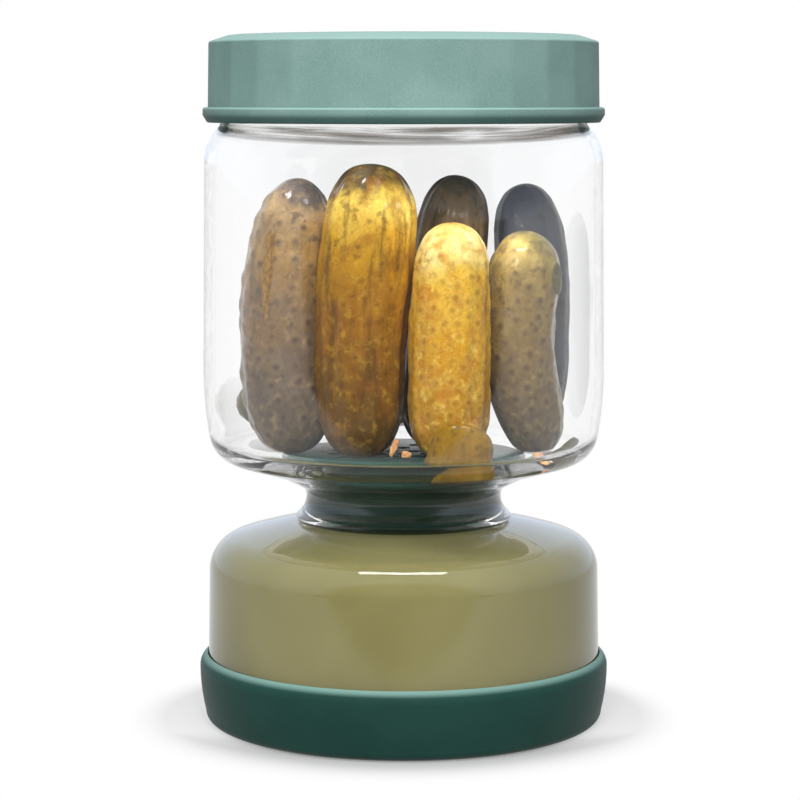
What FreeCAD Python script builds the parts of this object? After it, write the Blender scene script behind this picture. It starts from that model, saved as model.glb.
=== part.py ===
import FreeCAD, Part

import math
import os
from collections import namedtuple

# Hourglass pickle jar: a clear upper chamber with gherkins in it, a clear waist with a
# strainer, a clear lower chamber full of brine, a screw lid above and a soft cup below.
# Millimetres. Origin: centre of the cup's underside. +Z up, the front faces -Y.

V = FreeCAD.Vector
AXIS_FOOT = V(0, 0, 0)
UP = V(0, 0, 1)

# --- base cup -------------------------------------------------------------------------
CUP_WALL = 2.05         # wall at its thickest, where the lip starts
CUP_BULGE = 1.5         # how much narrower the cup is just above its bottom corner
CUP_LIP_Z = 15.2        # height where the lip starts to round inwards
CUP_LIP_ROUND = 4.0     # radius of the rounded lip
CUP_CORNER = 2.8        # radius of the bottom corner
CUP_FLOOR = 2.6         # thickness of the cup's floor
CUP_FIT = 0.15          # gap between the cup's wall and the glass in it

# --- lower chamber --------------------------------------------------------------------
WALL = 2.4              # glass thickness, both chambers
LOWER_R = 54.0          # outside radius at the foot
LOWER_TAPER = 0.6       # how much narrower the side is at its top
LOWER_CORNER = 6.5      # foot corner radius
LOWER_SIDE = 32.8       # straight side between the foot corner and the shoulder
LOWER_SHOULDER = 9.7    # shoulder radius
LOWER_SLOPE = 16.0      # slope of the crown beside the shoulder, degrees
CROWN_ROUND = 165.0     # radius of the slightly domed crown
BRINE_FIT = 0.1         # gap between the brine and the glass

# --- waist ----------------------------------------------------------------------------
THROAT_R = 26.7         # outside radius at the narrowest place
LIP_REACH = 2.8         # how far the collar's lip stands out past the throat
LIP_ROUND = 1.2         # rounding of the lip
SEAT_EDGE = 0.1         # how far the flat seat on the lower crown runs past the lip
THROAT_BELOW = 6.3      # hollow radius under the narrowest place
THROAT_ABOVE = 3.2      # hollow radius above it
COLLAR_SLOPE = 27.0     # slope of the collar above the throat, degrees
COLLAR_REACH = 7.6      # how far out from the throat the collar meets the chamber's floor

# --- upper chamber --------------------------------------------------------------------
UPPER_R = 54.7          # outside radius at the widest place
UPPER_TAPER = 0.65      # degrees by which the side leans inwards
FLOOR_SLOPE = 16.0      # slope of the floor, degrees
FLOOR_EDGE = 2.0        # rounding between collar and floor
FLOOR_T = 4.0           # glass thickness of the floor
FOOT_CORNER = 8.5       # corner between floor and side, outside
HOLLOW_CORNER = 4.0     # the same corner, inside
BORE_EDGE = 3.0         # rounding between the floor and the bore, inside
BARREL_ROUND = 104.5    # radius of the slow curve above the corner
BARREL_TURN = 10.1      # angle of that curve, degrees
UPPER_SIDE = 55.2       # straight side up to the shoulder
SHOULDER_ROUND = 14.5   # shoulder radius
SHOULDER_TURN = 44.0    # how far the shoulder turns inwards, degrees
FINISH_ROUND = 1.5      # hollow at the foot of the finish
FINISH_H = 20.2         # straight finish above it, under the lid

# --- strainer -------------------------------------------------------------------------
STRAINER_FIT = 0.2      # gap between its tube and the throat
TUBE_WALL = 1.6         # wall of the tube
FLANGE_REACH = 8.9      # how far the flange stands out past the bore
FLANGE_FIT = 0.1        # gap between the flange's edge and the sloping glass floor
FLANGE_H = 1.3          # thickness of the flange and of the plate inside it
HOLE_R = 1.9            # radius of the drain holes
HOLE_RINGS = 3          # rings of holes round the middle one
HOLE_EDGE = 1.4         # plate left between the outer ring of holes and the tube

# --- lid ------------------------------------------------------------------------------
FACETS = 28
FACET_PHASE = -7.07     # turn of the facets about the axis, degrees
LID_FIT = 0.5           # gap between the lid's skirt and the finish
LID_WALL = 2.67         # skirt, measured over the facets' edges at the top
LID_DRAFT = 0.3         # how much wider the skirt is at the bead
LID_TOP = 3.0           # thickness of the top
BEVEL_W = 5.3           # width of the bevel round the top
BEVEL_H = 1.7           # its height
BEVEL_ROUND = 0.8       # rounding between the bevel and the facets
BEAD_REACH = 1.65       # how far the bead at the skirt's lower edge stands out past it
BEAD_H = 2.1            # upright part of the bead
BEAD_ROUND = 0.7        # rounding of its upper edge
BEAD_FOOT_H = 2.0       # slanted part below it
BEAD_FOOT_IN = 1.1      # how far that part slants inwards
SKIRT_GAP = 0.9         # height of the bead's underside above the glass shoulder

# --- gherkins -------------------------------------------------------------------------
# The bundle is chosen to fill the chamber, so every number is a share of the chamber's
# inside radius. foot and head are the ends (x, y); low and high the heights of the ends
# above what the foot stands on; girth is the largest radius, bow moves the middle
# sideways (x, y) and blunt is how square the ends are.
Gherkin = namedtuple("Gherkin", "foot low head high girth bow blunt")
GHERKINS = [
    Gherkin((-0.574, -0.048), 0, (-0.526, -0.048), 1.438, 0.224, (-0.115, 0.019), 3.0),
    Gherkin((-0.187, -0.249), 0, (-0.149, -0.229), 1.516, 0.239, (-0.057, 0), 3.6),
    Gherkin((0.229, -0.354), 0, (0.249, -0.354), 1.224, 0.205, (-0.010, 0), 3.4),
    Gherkin((0.704, -0.105), 0, (0.650, -0.086), 1.144, 0.195, (-0.086, 0), 3.2),
    Gherkin((0.249, 0.220), 0, (0.296, 0.210), 1.446, 0.195, (0, 0.029), 3.2),
    Gherkin((0.660, 0.344), 0, (0.631, 0.344), 1.374, 0.195, (0.057, 0.010), 3.2),
    Gherkin((0.268, 0.688), 0.087, (-0.822, 0.315), 0.110, 0.178, (-0.076, 0.149), 2.8),
]
GHERKIN_FIT = 0.2       # gap under a gherkin's foot
SPINE_STEPS = 12        # sections along a gherkin
# the cut end of one more gherkin, as shares of the same radius
STUB_PLACE = (0.268, -0.719)
STUB_HALF = (0.145, 0.099)  # half of its width and depth
STUB_H = 0.249
STUB_ROUND = 0.042      # rounding of its edges


class Outline:
    """A smooth line in the r-z plane, made of runs and tangent arcs."""

    def __init__(self, r, z, heading):
        self.start = (r, z)
        self.r, self.z, self.heading = r, z, heading
        self.edges = []

    def line(self, length):
        """Go straight on."""
        a = math.radians(self.heading)
        before = self.point()
        self.r += length * math.cos(a)
        self.z += length * math.sin(a)
        self.edges.append(Part.LineSegment(before, self.point()).toShape())
        return self

    def line_to_r(self, r):
        """Go straight on to a given radius."""
        return self.line((r - self.r) / math.cos(math.radians(self.heading)))

    def arc(self, radius, turn):
        """Turn left (towards the axis when going up) by a positive angle."""
        side = math.copysign(90.0, turn)
        a = math.radians(self.heading + side)
        cr = self.r + radius * math.cos(a)
        cz = self.z + radius * math.sin(a)
        before = self.point()
        mid = math.radians(self.heading + turn / 2 - side)
        end = math.radians(self.heading + turn - side)
        middle = V(cr + radius * math.cos(mid), 0, cz + radius * math.sin(mid))
        self.r = cr + radius * math.cos(end)
        self.z = cz + radius * math.sin(end)
        self.heading += turn
        self.edges.append(Part.Arc(before, middle, self.point()).toShape())
        return self

    def arc_to_r(self, radius, r):
        """Turn left until the given radius is reached, on the way to the axis."""
        a = math.radians(self.heading + 90.0)
        cr = self.r + radius * math.cos(a)
        end = math.degrees(math.acos((r - cr) / radius))
        return self.arc(radius, end - (self.heading - 90.0))

    def point(self):
        return V(self.r, 0, self.z)


def chain(*points):
    """Straight edges through (r, z) points."""
    return [Part.LineSegment(V(a[0], 0, a[1]), V(b[0], 0, b[1])).toShape()
            for a, b in zip(points, points[1:])]


def revolve(edges):
    """A solid of revolution from the closed ring of edges in the r-z plane."""
    wire = Part.Wire(Part.__sortEdges__(edges))
    solid = Part.Face(wire).revolve(AXIS_FOOT, UP, 360)
    if solid.Volume < 0:
        solid.reverse()
    return solid


def cup_corner_path(outline_r, foot_z, corner, side_top):
    """From the axis out, round the corner and up a plain side."""
    path = Outline(0, foot_z, 0)
    path.line(outline_r - corner)
    path.arc(corner, 90)
    path.line(side_top - path.z)
    return path


# --- lower chamber --------------------------------------------------------------------
def lower_path(depth, end_r):
    """The lower chamber's outside moved inwards by depth, from the axis to end_r."""
    lean = math.degrees(math.atan(LOWER_TAPER / LOWER_SIDE))
    path = Outline(0, CUP_FLOOR + depth, 0)
    path.line(LOWER_R - LOWER_CORNER)
    path.arc(LOWER_CORNER - depth, 90 + lean)
    path.line(LOWER_SIDE)
    path.arc(LOWER_SHOULDER - depth, 90 - lean - LOWER_SLOPE)
    path.arc_to_r(CROWN_ROUND - depth, end_r)
    return path


BORE_R = THROAT_R - WALL
LIP_R = THROAT_R + LIP_REACH
lower_out = lower_path(0, LIP_R + SEAT_EDGE)
lower_in = lower_path(WALL, BORE_R)
SEAT_Z = lower_out.z


def lower_glass():
    rim = chain((lower_out.r, SEAT_Z), (BORE_R, SEAT_Z), (BORE_R, lower_in.z))
    foot = chain((0, CUP_FLOOR), (0, CUP_FLOOR + WALL))
    return revolve(lower_out.edges + rim + lower_in.edges + foot)


def brine():
    path = lower_path(WALL + BRINE_FIT, BORE_R - BRINE_FIT)
    top = chain((path.r, path.z), (0, path.z), (0, CUP_FLOOR + WALL + BRINE_FIT))
    return revolve(path.edges + top)


def base_cup():
    inside_r = LOWER_R + CUP_FIT
    widest_r = inside_r + CUP_WALL
    foot_r = widest_r - CUP_BULGE
    inside = cup_corner_path(inside_r, CUP_FLOOR, LOWER_CORNER, CUP_LIP_Z)
    reach = widest_r - CUP_LIP_ROUND
    lip_z = CUP_LIP_Z + math.sqrt(CUP_LIP_ROUND ** 2 - (inside_r - reach) ** 2)
    half = math.acos((inside_r - reach) / CUP_LIP_ROUND) / 2
    lip = Part.Arc(
        V(widest_r, 0, CUP_LIP_Z),
        V(reach + CUP_LIP_ROUND * math.cos(half), 0, CUP_LIP_Z + CUP_LIP_ROUND * math.sin(half)),
        V(inside_r, 0, lip_z),
    ).toShape()
    # the side bulges slightly: an arc that is upright where the lip starts
    drop = CUP_LIP_Z - CUP_CORNER
    side_r = (drop ** 2 + CUP_BULGE ** 2) / (2 * CUP_BULGE)
    turn = math.asin(drop / side_r)
    mid = V(widest_r - side_r * (1 - math.cos(turn / 2)), 0,
            CUP_LIP_Z - side_r * math.sin(turn / 2))
    side = Part.Arc(V(widest_r, 0, CUP_LIP_Z), mid, V(foot_r, 0, CUP_CORNER)).toShape()
    diagonal = CUP_CORNER * math.sqrt(0.5)
    corner = Part.Arc(
        V(foot_r, 0, CUP_CORNER),
        V(foot_r - CUP_CORNER + diagonal, 0, CUP_CORNER - diagonal),
        V(foot_r - CUP_CORNER, 0, 0),
    ).toShape()
    rest = chain((foot_r - CUP_CORNER, 0), (0, 0), (0, CUP_FLOOR))
    rim = chain((inside.r, inside.z), (inside_r, lip_z))
    return revolve(inside.edges + rim + [lip, side, corner] + rest)


# --- waist and upper chamber ----------------------------------------------------------
def lip_path():
    """From the seat round the collar's lip up to the throat."""
    path = Outline(BORE_R, SEAT_Z, 0)
    path.line_to_r(LIP_R - LIP_ROUND)
    # the rounded lip runs smoothly into the hollow, which ends upright at the throat
    apart = THROAT_R + THROAT_BELOW - (LIP_R - LIP_ROUND)
    lean = math.degrees(math.acos(apart / (LIP_ROUND + THROAT_BELOW)))
    path.arc(LIP_ROUND, 90 + lean)
    path.arc(THROAT_BELOW, -lean)
    return path


def chamber_path(throat_z):
    """From the throat up the outside of the chamber to the finish's top."""
    path = Outline(THROAT_R, throat_z, 90)
    path.arc(THROAT_ABOVE, COLLAR_SLOPE - 90)
    path.line_to_r(THROAT_R + COLLAR_REACH)
    path.arc(FLOOR_EDGE, FLOOR_SLOPE - COLLAR_SLOPE)
    barrel = math.radians(BARREL_TURN)
    corner_r = UPPER_R - (BARREL_ROUND - FOOT_CORNER) * (1 - math.cos(barrel)) - FOOT_CORNER
    path.line_to_r(corner_r + FOOT_CORNER * math.sin(math.radians(FLOOR_SLOPE)))
    path.arc(FOOT_CORNER, 90 - BARREL_TURN - FLOOR_SLOPE)
    path.arc(BARREL_ROUND, BARREL_TURN + UPPER_TAPER)
    path.line(UPPER_SIDE)
    path.arc(SHOULDER_ROUND, SHOULDER_TURN - UPPER_TAPER)
    path.arc(FINISH_ROUND, -SHOULDER_TURN)
    path.line(FINISH_H)
    return path


lip_out = lip_path()
THROAT_Z = lip_out.z
chamber_out = chamber_path(THROAT_Z)
FINISH_R = chamber_out.r
FINISH_TOP = chamber_out.z
FLOOR_RUN, BARREL_ARC = chamber_out.edges[3], chamber_out.edges[5]


def floor_z(r):
    """Height of the glass floor's inner face at radius r, on its straight slope."""
    slope = math.radians(FLOOR_SLOPE)
    outer = FLOOR_RUN.Vertexes[0].Point
    return outer.z + (r - outer.x) * math.tan(slope) + FLOOR_T / math.cos(slope)


def hollow_path():
    """The chamber's inside: from the bore over the floor and up the side."""
    slope = math.radians(FLOOR_SLOPE)
    barrel_r = BARREL_ROUND - WALL
    centre = BARREL_ARC.Curve.Center
    # the barrel's angle for which the inside corner lands on the raised floor
    above = (centre.z - floor_z(centre.x)) * math.cos(slope) - HOLLOW_CORNER
    barrel = math.asin(above / (barrel_r - HOLLOW_CORNER)) - slope
    corner_r = centre.x + (barrel_r - HOLLOW_CORNER) * math.cos(barrel)
    edge_r = BORE_R + BORE_EDGE
    path = Outline(BORE_R, floor_z(edge_r) - BORE_EDGE / math.cos(slope), 90)
    path.arc(BORE_EDGE, FLOOR_SLOPE - 90)
    path.line_to_r(corner_r + HOLLOW_CORNER * math.sin(slope))
    path.arc(HOLLOW_CORNER, 90 - math.degrees(barrel) - FLOOR_SLOPE)
    path.arc(barrel_r, math.degrees(barrel) + UPPER_TAPER)
    path.line(UPPER_SIDE)
    path.arc(SHOULDER_ROUND - WALL, SHOULDER_TURN - UPPER_TAPER)
    path.arc(FINISH_ROUND + WALL, -SHOULDER_TURN)
    path.line(FINISH_H)
    return path


chamber_in = hollow_path()


def upper_glass():
    rim = chain((chamber_out.r, FINISH_TOP), (chamber_in.r, FINISH_TOP))
    bore = chain((BORE_R, chamber_in.start[1]), (BORE_R, SEAT_Z))
    return revolve(lip_out.edges + chamber_out.edges + rim + chamber_in.edges + bore)


# --- strainer -------------------------------------------------------------------------
FLANGE_R = BORE_R + FLANGE_REACH
FLANGE_Z = floor_z(FLANGE_R) + FLANGE_FIT
FLANGE_TOP = FLANGE_Z + FLANGE_H
TUBE_R = BORE_R - STRAINER_FIT


def strainer():
    drain_r = TUBE_R - TUBE_WALL
    tube = Part.makeCylinder(TUBE_R, FLANGE_Z - SEAT_Z, V(0, 0, SEAT_Z))
    drain = Part.makeCylinder(drain_r, FLANGE_Z - SEAT_Z, V(0, 0, SEAT_Z))
    plate = Part.makeCylinder(FLANGE_R, FLANGE_H, V(0, 0, FLANGE_Z))
    body = plate.fuse(tube.cut(drain))
    pitch = (drain_r - HOLE_R - HOLE_EDGE) / HOLE_RINGS
    holes = [Part.makeCylinder(HOLE_R, FLANGE_H, V(0, 0, FLANGE_Z))]
    for ring in range(1, HOLE_RINGS + 1):
        for k in range(6 * ring):
            a = 2 * math.pi * k / (6 * ring)
            spot = V(ring * pitch * math.cos(a), ring * pitch * math.sin(a), FLANGE_Z)
            holes.append(Part.makeCylinder(HOLE_R, FLANGE_H, spot))
    return body.cut(holes)


# --- lid ------------------------------------------------------------------------------
SHOULDER_TOP = FINISH_TOP - FINISH_H - FINISH_ROUND * math.sin(math.radians(SHOULDER_TURN))
BEAD_FOOT_Z = SHOULDER_TOP + SKIRT_GAP
BEAD_TOP_Z = BEAD_FOOT_Z + BEAD_FOOT_H + BEAD_H
LID_Z = FINISH_TOP + LID_TOP
LID_R = FINISH_R + LID_FIT + LID_WALL
BEAD_R = LID_R + BEAD_REACH


def facet_ring(radius, z):
    points = []
    for k in range(FACETS + 1):
        a = math.radians(FACET_PHASE - 90.0) + 2 * math.pi * k / FACETS
        points.append(V(radius * math.cos(a), radius * math.sin(a), z))
    return Part.makePolygon(points)


def lid():
    low = BEAD_TOP_Z - BEAD_H
    skirt = Part.makeLoft([facet_ring(LID_R + LID_DRAFT, low), facet_ring(LID_R, LID_Z)], True, True)
    # crown: a flat top with a shallow bevel that rounds over into the facets
    bevel = math.degrees(math.atan2(BEVEL_H, BEVEL_W))
    crown = Outline(0, LID_Z, 0)
    crown.line(LID_R - BEVEL_W)
    slope = Outline(crown.r, crown.z, -bevel)
    tip = BEVEL_ROUND * math.tan(math.radians(90 - bevel) / 2)
    slope.line(math.hypot(BEVEL_W, BEVEL_H) - tip)
    slope.arc(BEVEL_ROUND, bevel - 90)
    sides = chain((slope.r, slope.z), (BEAD_R, low), (0, low), (0, LID_Z))
    body = skirt.common(revolve(crown.edges + slope.edges + sides))
    # bead round the lower edge, with a slanted foot
    bead = Outline(0, BEAD_TOP_Z, 0)
    bead.line(BEAD_R - BEAD_ROUND)
    bead.arc(BEAD_ROUND, -90)
    bead.line(BEAD_H - BEAD_ROUND)
    foot = chain((bead.r, bead.z), (BEAD_R - BEAD_FOOT_IN, BEAD_FOOT_Z), (0, BEAD_FOOT_Z),
                 (0, BEAD_TOP_Z))
    hollow_r = FINISH_R + LID_FIT
    hollow = Part.makeCylinder(hollow_r, FINISH_TOP - BEAD_FOOT_Z, V(0, 0, BEAD_FOOT_Z))
    return body.fuse(revolve(bead.edges + foot)).cut(hollow).removeSplitter()


# --- gherkins -------------------------------------------------------------------------
ROOM_R = UPPER_R - WALL


def bed_z(r):
    """Height of what a gherkin at radius r stands on: the flange or the sloping floor."""
    return max(FLANGE_TOP, floor_z(r))


def gherkin(g):
    """A plump bent finger: round sections set square to a bowed spine."""
    girth = g.girth * ROOM_R
    foot = V(g.foot[0], g.foot[1], g.low) * ROOM_R
    head = V(g.head[0], g.head[1], g.high) * ROOM_R
    bow = V(g.bow[0], g.bow[1], 0) * ROOM_R
    # the more a rounded end leans, the further its lowest point lies below its tip
    lean = (head - foot + bow * 4).getAngle(UP)
    dip = girth / 2 * (1 - math.cos(lean))
    bed = bed_z(math.hypot(foot.x, foot.y) + girth / 6)
    lift = V(0, 0, bed + dip + GHERKIN_FIT)
    foot, head = foot + lift, head + lift

    def spine(t):
        return foot * (1 - t) + head * t + bow * (4 * t * (1 - t))

    def heading(t):
        return head - foot + bow * (4 - 8 * t)

    sections = [Part.Vertex(spine(0))]
    for step in range(1, SPINE_STEPS):
        t = (1 - math.cos(math.pi * step / SPINE_STEPS)) / 2
        radius = girth * math.sqrt(1 - abs(2 * t - 1) ** g.blunt)
        circle = Part.Circle(spine(t), heading(t), radius)
        sections.append(Part.Wire([circle.toShape()]))
    sections.append(Part.Vertex(spine(1)))
    return Part.makeLoft(sections, True, False)


def stub():
    """The cut end of a gherkin, wider than deep, with rounded edges."""
    x, y = (share * ROOM_R for share in STUB_PLACE)
    half_x, half_y = (share * ROOM_R for share in STUB_HALF)
    ellipse = Part.Ellipse(V(0, 0, 0), half_x, half_y)
    block = Part.Face(Part.Wire([ellipse.toShape()])).extrude(V(0, 0, STUB_H * ROOM_R))
    rims = [edge for edge in block.Edges if edge.Curve.TypeId == "Part::GeomEllipse"]
    block = block.makeFillet(STUB_ROUND * ROOM_R, rims)
    block.translate(V(x, y, bed_z(math.hypot(x, y) + half_y)))
    return block


# --- export ---------------------------------------------------------------------------
def build():
    pieces = {
        "base_cup": base_cup(),
        "lower_glass": lower_glass(),
        "brine": brine(),
        "upper_glass": upper_glass(),
        "strainer": strainer(),
        "lid": lid(),
    }
    for number, size in enumerate(GHERKINS, 1):
        pieces["gherkin_%d" % number] = gherkin(size)
    pieces["gherkin_stub"] = stub()
    return pieces


os.makedirs("parts", exist_ok=True)
for name, shape in build().items():
    shape.exportStep("parts/%s.step" % name)
    box = shape.BoundBox
    print("%-14s volume %9.1f mm3  z %6.2f to %6.2f  solids %d  valid %s" % (
        name, shape.Volume, box.ZMin, box.ZMax, len(shape.Solids), shape.isValid()))
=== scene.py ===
"""Looks of the hourglass pickle jar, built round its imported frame.

A clear upper chamber holds whole gherkins, a clear waist holds a strainer, a clear lower
chamber holds cloudy brine, a facetted lid screws on top and a soft cup is the foot.
Everything is in metres, with +Z up and the front facing -Y.
"""

import logging
import math
import random
from dataclasses import dataclass, field
from enum import Enum
from typing import Any, Callable, Iterable, Optional, Sequence

import bpy
import numpy as np
from mathutils import Euler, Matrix, Vector, kdtree, noise

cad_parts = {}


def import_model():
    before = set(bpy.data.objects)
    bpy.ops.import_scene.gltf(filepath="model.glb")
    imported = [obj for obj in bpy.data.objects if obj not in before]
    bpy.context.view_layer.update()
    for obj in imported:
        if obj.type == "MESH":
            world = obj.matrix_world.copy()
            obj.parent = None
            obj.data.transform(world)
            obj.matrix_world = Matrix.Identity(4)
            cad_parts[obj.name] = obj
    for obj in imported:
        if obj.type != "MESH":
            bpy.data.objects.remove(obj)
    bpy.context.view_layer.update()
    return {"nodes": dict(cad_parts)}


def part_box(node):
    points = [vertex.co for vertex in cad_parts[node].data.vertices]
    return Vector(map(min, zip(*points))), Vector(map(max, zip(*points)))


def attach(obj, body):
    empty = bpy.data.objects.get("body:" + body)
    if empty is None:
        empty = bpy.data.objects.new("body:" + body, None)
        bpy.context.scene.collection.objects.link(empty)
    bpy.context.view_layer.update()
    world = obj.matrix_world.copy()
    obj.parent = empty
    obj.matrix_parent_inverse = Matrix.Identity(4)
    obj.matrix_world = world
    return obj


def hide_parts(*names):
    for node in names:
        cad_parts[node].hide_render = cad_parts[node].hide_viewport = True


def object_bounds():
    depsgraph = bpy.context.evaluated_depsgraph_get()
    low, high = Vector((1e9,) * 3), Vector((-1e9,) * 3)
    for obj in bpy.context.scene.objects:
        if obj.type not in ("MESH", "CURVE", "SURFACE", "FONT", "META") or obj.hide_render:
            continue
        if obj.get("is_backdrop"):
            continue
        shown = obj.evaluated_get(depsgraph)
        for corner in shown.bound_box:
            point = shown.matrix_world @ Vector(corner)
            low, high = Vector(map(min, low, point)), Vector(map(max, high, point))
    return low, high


LOG = logging.getLogger("pickle_jar")
MM = 0.001
Colour = tuple[float, float, float]
Point = tuple[float, float]
Triple = tuple[float, float, float]
Socket = bpy.types.NodeSocket
WHITE: Colour = (1.0, 1.0, 1.0)


def mm(*values: float) -> tuple[float, ...]:
    """Returns millimetres as metres."""
    return tuple(value * MM for value in values)


def srgb(red: int, green: int, blue: int) -> Colour:
    """Turns a colour as it is seen on a screen into the linear one that shaders take.

    Args:
        red: Red, 0 to 255.
        green: Green, 0 to 255.
        blue: Blue, 0 to 255.

    Returns:
        The linear red, green and blue.
    """
    def linear(value: int) -> float:
        """Returns one channel made linear."""
        share = value / 255
        return share / 12.92 if share <= 0.04045 else ((share + 0.055) / 1.055) ** 2.4

    return linear(red), linear(green), linear(blue)


def direction(azimuth: float, elevation: float) -> Triple:
    """Gives a direction away from the jar.

    Args:
        azimuth: Degrees to the right of the front.
        elevation: Degrees up.

    Returns:
        The direction, one metre long.
    """
    turn, up = math.radians(azimuth), math.radians(elevation)
    return math.sin(turn) * math.cos(up), -math.cos(turn) * math.cos(up), math.sin(up)


# --- meshes -----------------------------------------------------------------------------
class Outline:
    """A smooth line in the r-z plane, made of runs and tangent arcs."""

    ARC_STEP = 4.0  # most degrees between points of an arc
    FINE_STEP = 0.8  # the same for a wide, shallow arc

    def __init__(self, r: float, z: float, heading: float) -> None:
        """Starts the line.

        Args:
            r: First radius.
            z: First height.
            heading: Direction in degrees; 0 is outwards and 90 is up.
        """
        self.r, self.z, self.heading = r, z, heading
        self.points: list[Point] = [(r, z)]

    def line(self, length: float) -> "Outline":
        """Goes straight on.

        Args:
            length: How far.

        Returns:
            The outline itself.
        """
        angle = math.radians(self.heading)
        self.r += length * math.cos(angle)
        self.z += length * math.sin(angle)
        self.points.append((self.r, self.z))
        return self

    def line_to_r(self, r: float) -> "Outline":
        """Goes straight on to a radius and returns the outline."""
        return self.line((r - self.r) / math.cos(math.radians(self.heading)))

    def arc(self, radius: float, turn: float, step: float = ARC_STEP) -> "Outline":
        """Turns along an arc.

        Args:
            radius: The arc's radius.
            turn: Degrees to turn, positive to the left.
            step: Most degrees between two points.

        Returns:
            The outline itself.
        """
        side = math.copysign(90.0, turn)
        start = math.radians(self.heading + side)
        centre_r = self.r + radius * math.cos(start)
        centre_z = self.z + radius * math.sin(start)
        count = max(2, math.ceil(abs(turn) / step))
        for i in range(1, count + 1):
            angle = math.radians(self.heading - side + turn * i / count)
            self.r = centre_r + radius * math.cos(angle)
            self.z = centre_z + radius * math.sin(angle)
            self.points.append((self.r, self.z))
        self.heading += turn
        return self

    def arc_to_r(self, radius: float, r: float, step: float = ARC_STEP) -> "Outline":
        """Turns left along an arc, inwards, until a radius is reached.

        Args:
            radius: The arc's radius.
            r: Radius at which it ends.
            step: Most degrees between two points.

        Returns:
            The outline itself.
        """
        centre_r = self.r + radius * math.cos(math.radians(self.heading + 90.0))
        end = math.degrees(math.acos((r - centre_r) / radius))
        return self.arc(radius, end - (self.heading - 90.0), step)


def mesh_object(name: str, vertices: Sequence[Sequence[float]], faces: Sequence[Sequence[int]],
                sharp: float = 40.0) -> bpy.types.Object:
    """Makes a smooth-shaded mesh.

    Args:
        name: Name of the piece.
        vertices: Its points, in metres.
        faces: Vertex numbers of each face.
        sharp: Degrees above which an edge stays sharp.

    Returns:
        The new object.
    """
    mesh = bpy.data.meshes.new(name)
    mesh.from_pydata([tuple(v) for v in vertices], [], [tuple(f) for f in faces])
    mesh.validate()
    mesh.shade_smooth()
    mesh.set_sharp_from_angle(angle=math.radians(sharp))
    piece = bpy.data.objects.new(name, mesh)
    bpy.context.scene.collection.objects.link(piece)
    return piece


def revolve(name: str, points: Sequence[Point], segments: int = 256, closed: bool = False,
            swell: Optional[Callable[[float, float, float], float]] = None,
            sharp: float = 40.0) -> bpy.types.Object:
    """Turns an outline about the axis.

    Args:
        name: Name of the piece.
        points: The outline, with the solid on its left.
        segments: Steps round the axis.
        closed: True if the outline is a ring that doesn't touch the axis.
        swell: Function of (radius, height, angle) that gives the radius there, if not round.
        sharp: Degrees above which an edge stays sharp.

    Returns:
        The new object.
    """
    on_axis = 1e-7
    clean = [p for i, p in enumerate(points) if i == 0 or math.dist(p, points[i - 1]) > on_axis]
    vertices: list[Sequence[float]] = []
    rings: list[list[int]] = []
    for r, z in clean:
        if r < on_axis:
            rings.append([len(vertices)] * segments)
            vertices.append((0.0, 0.0, z))
            continue
        rings.append(list(range(len(vertices), len(vertices) + segments)))
        for k in range(segments):
            angle = 2 * math.pi * k / segments
            radius = swell(r, z, angle) if swell else r
            vertices.append((radius * math.cos(angle), radius * math.sin(angle), z))
    faces: list[Sequence[int]] = []
    pairs = list(zip(rings, rings[1:])) + ([(rings[-1], rings[0])] if closed else [])
    for low, high in pairs:
        for k in range(segments):
            after = (k + 1) % segments
            corners = [low[k], low[after], high[after], high[k]]
            faces.append(list(dict.fromkeys(corners)))
    return mesh_object(name, vertices, faces, sharp)


def closed_faces(rings: int, columns: int) -> list[Sequence[int]]:
    """Lists the faces of a closed skin of one first point, rings and one last point.

    Args:
        rings: How many rings there are.
        columns: How many points each ring has.

    Returns:
        The vertex numbers of each face.
    """
    faces: list[Sequence[int]] = []
    last = 1 + rings * columns
    for k in range(columns):
        after = (k + 1) % columns
        faces.append((0, 1 + after, 1 + k))
        for ring in range(rings - 1):
            a = 1 + ring * columns
            faces.append((a + k, a + after, a + columns + after, a + columns + k))
        faces.append((last - columns + k, last - columns + after, last))
    return faces


# --- nodes and finishes -----------------------------------------------------------------
@dataclass(frozen=True)
class Grain:
    """A noise pattern, about 0.2 to 0.8."""

    scale: float  # bumps per metre
    detail: float = 3.0  # octaves
    rough: float = 0.55  # strength of the finer octaves
    warp: float = 0.0  # how far the pattern is bent


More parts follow.
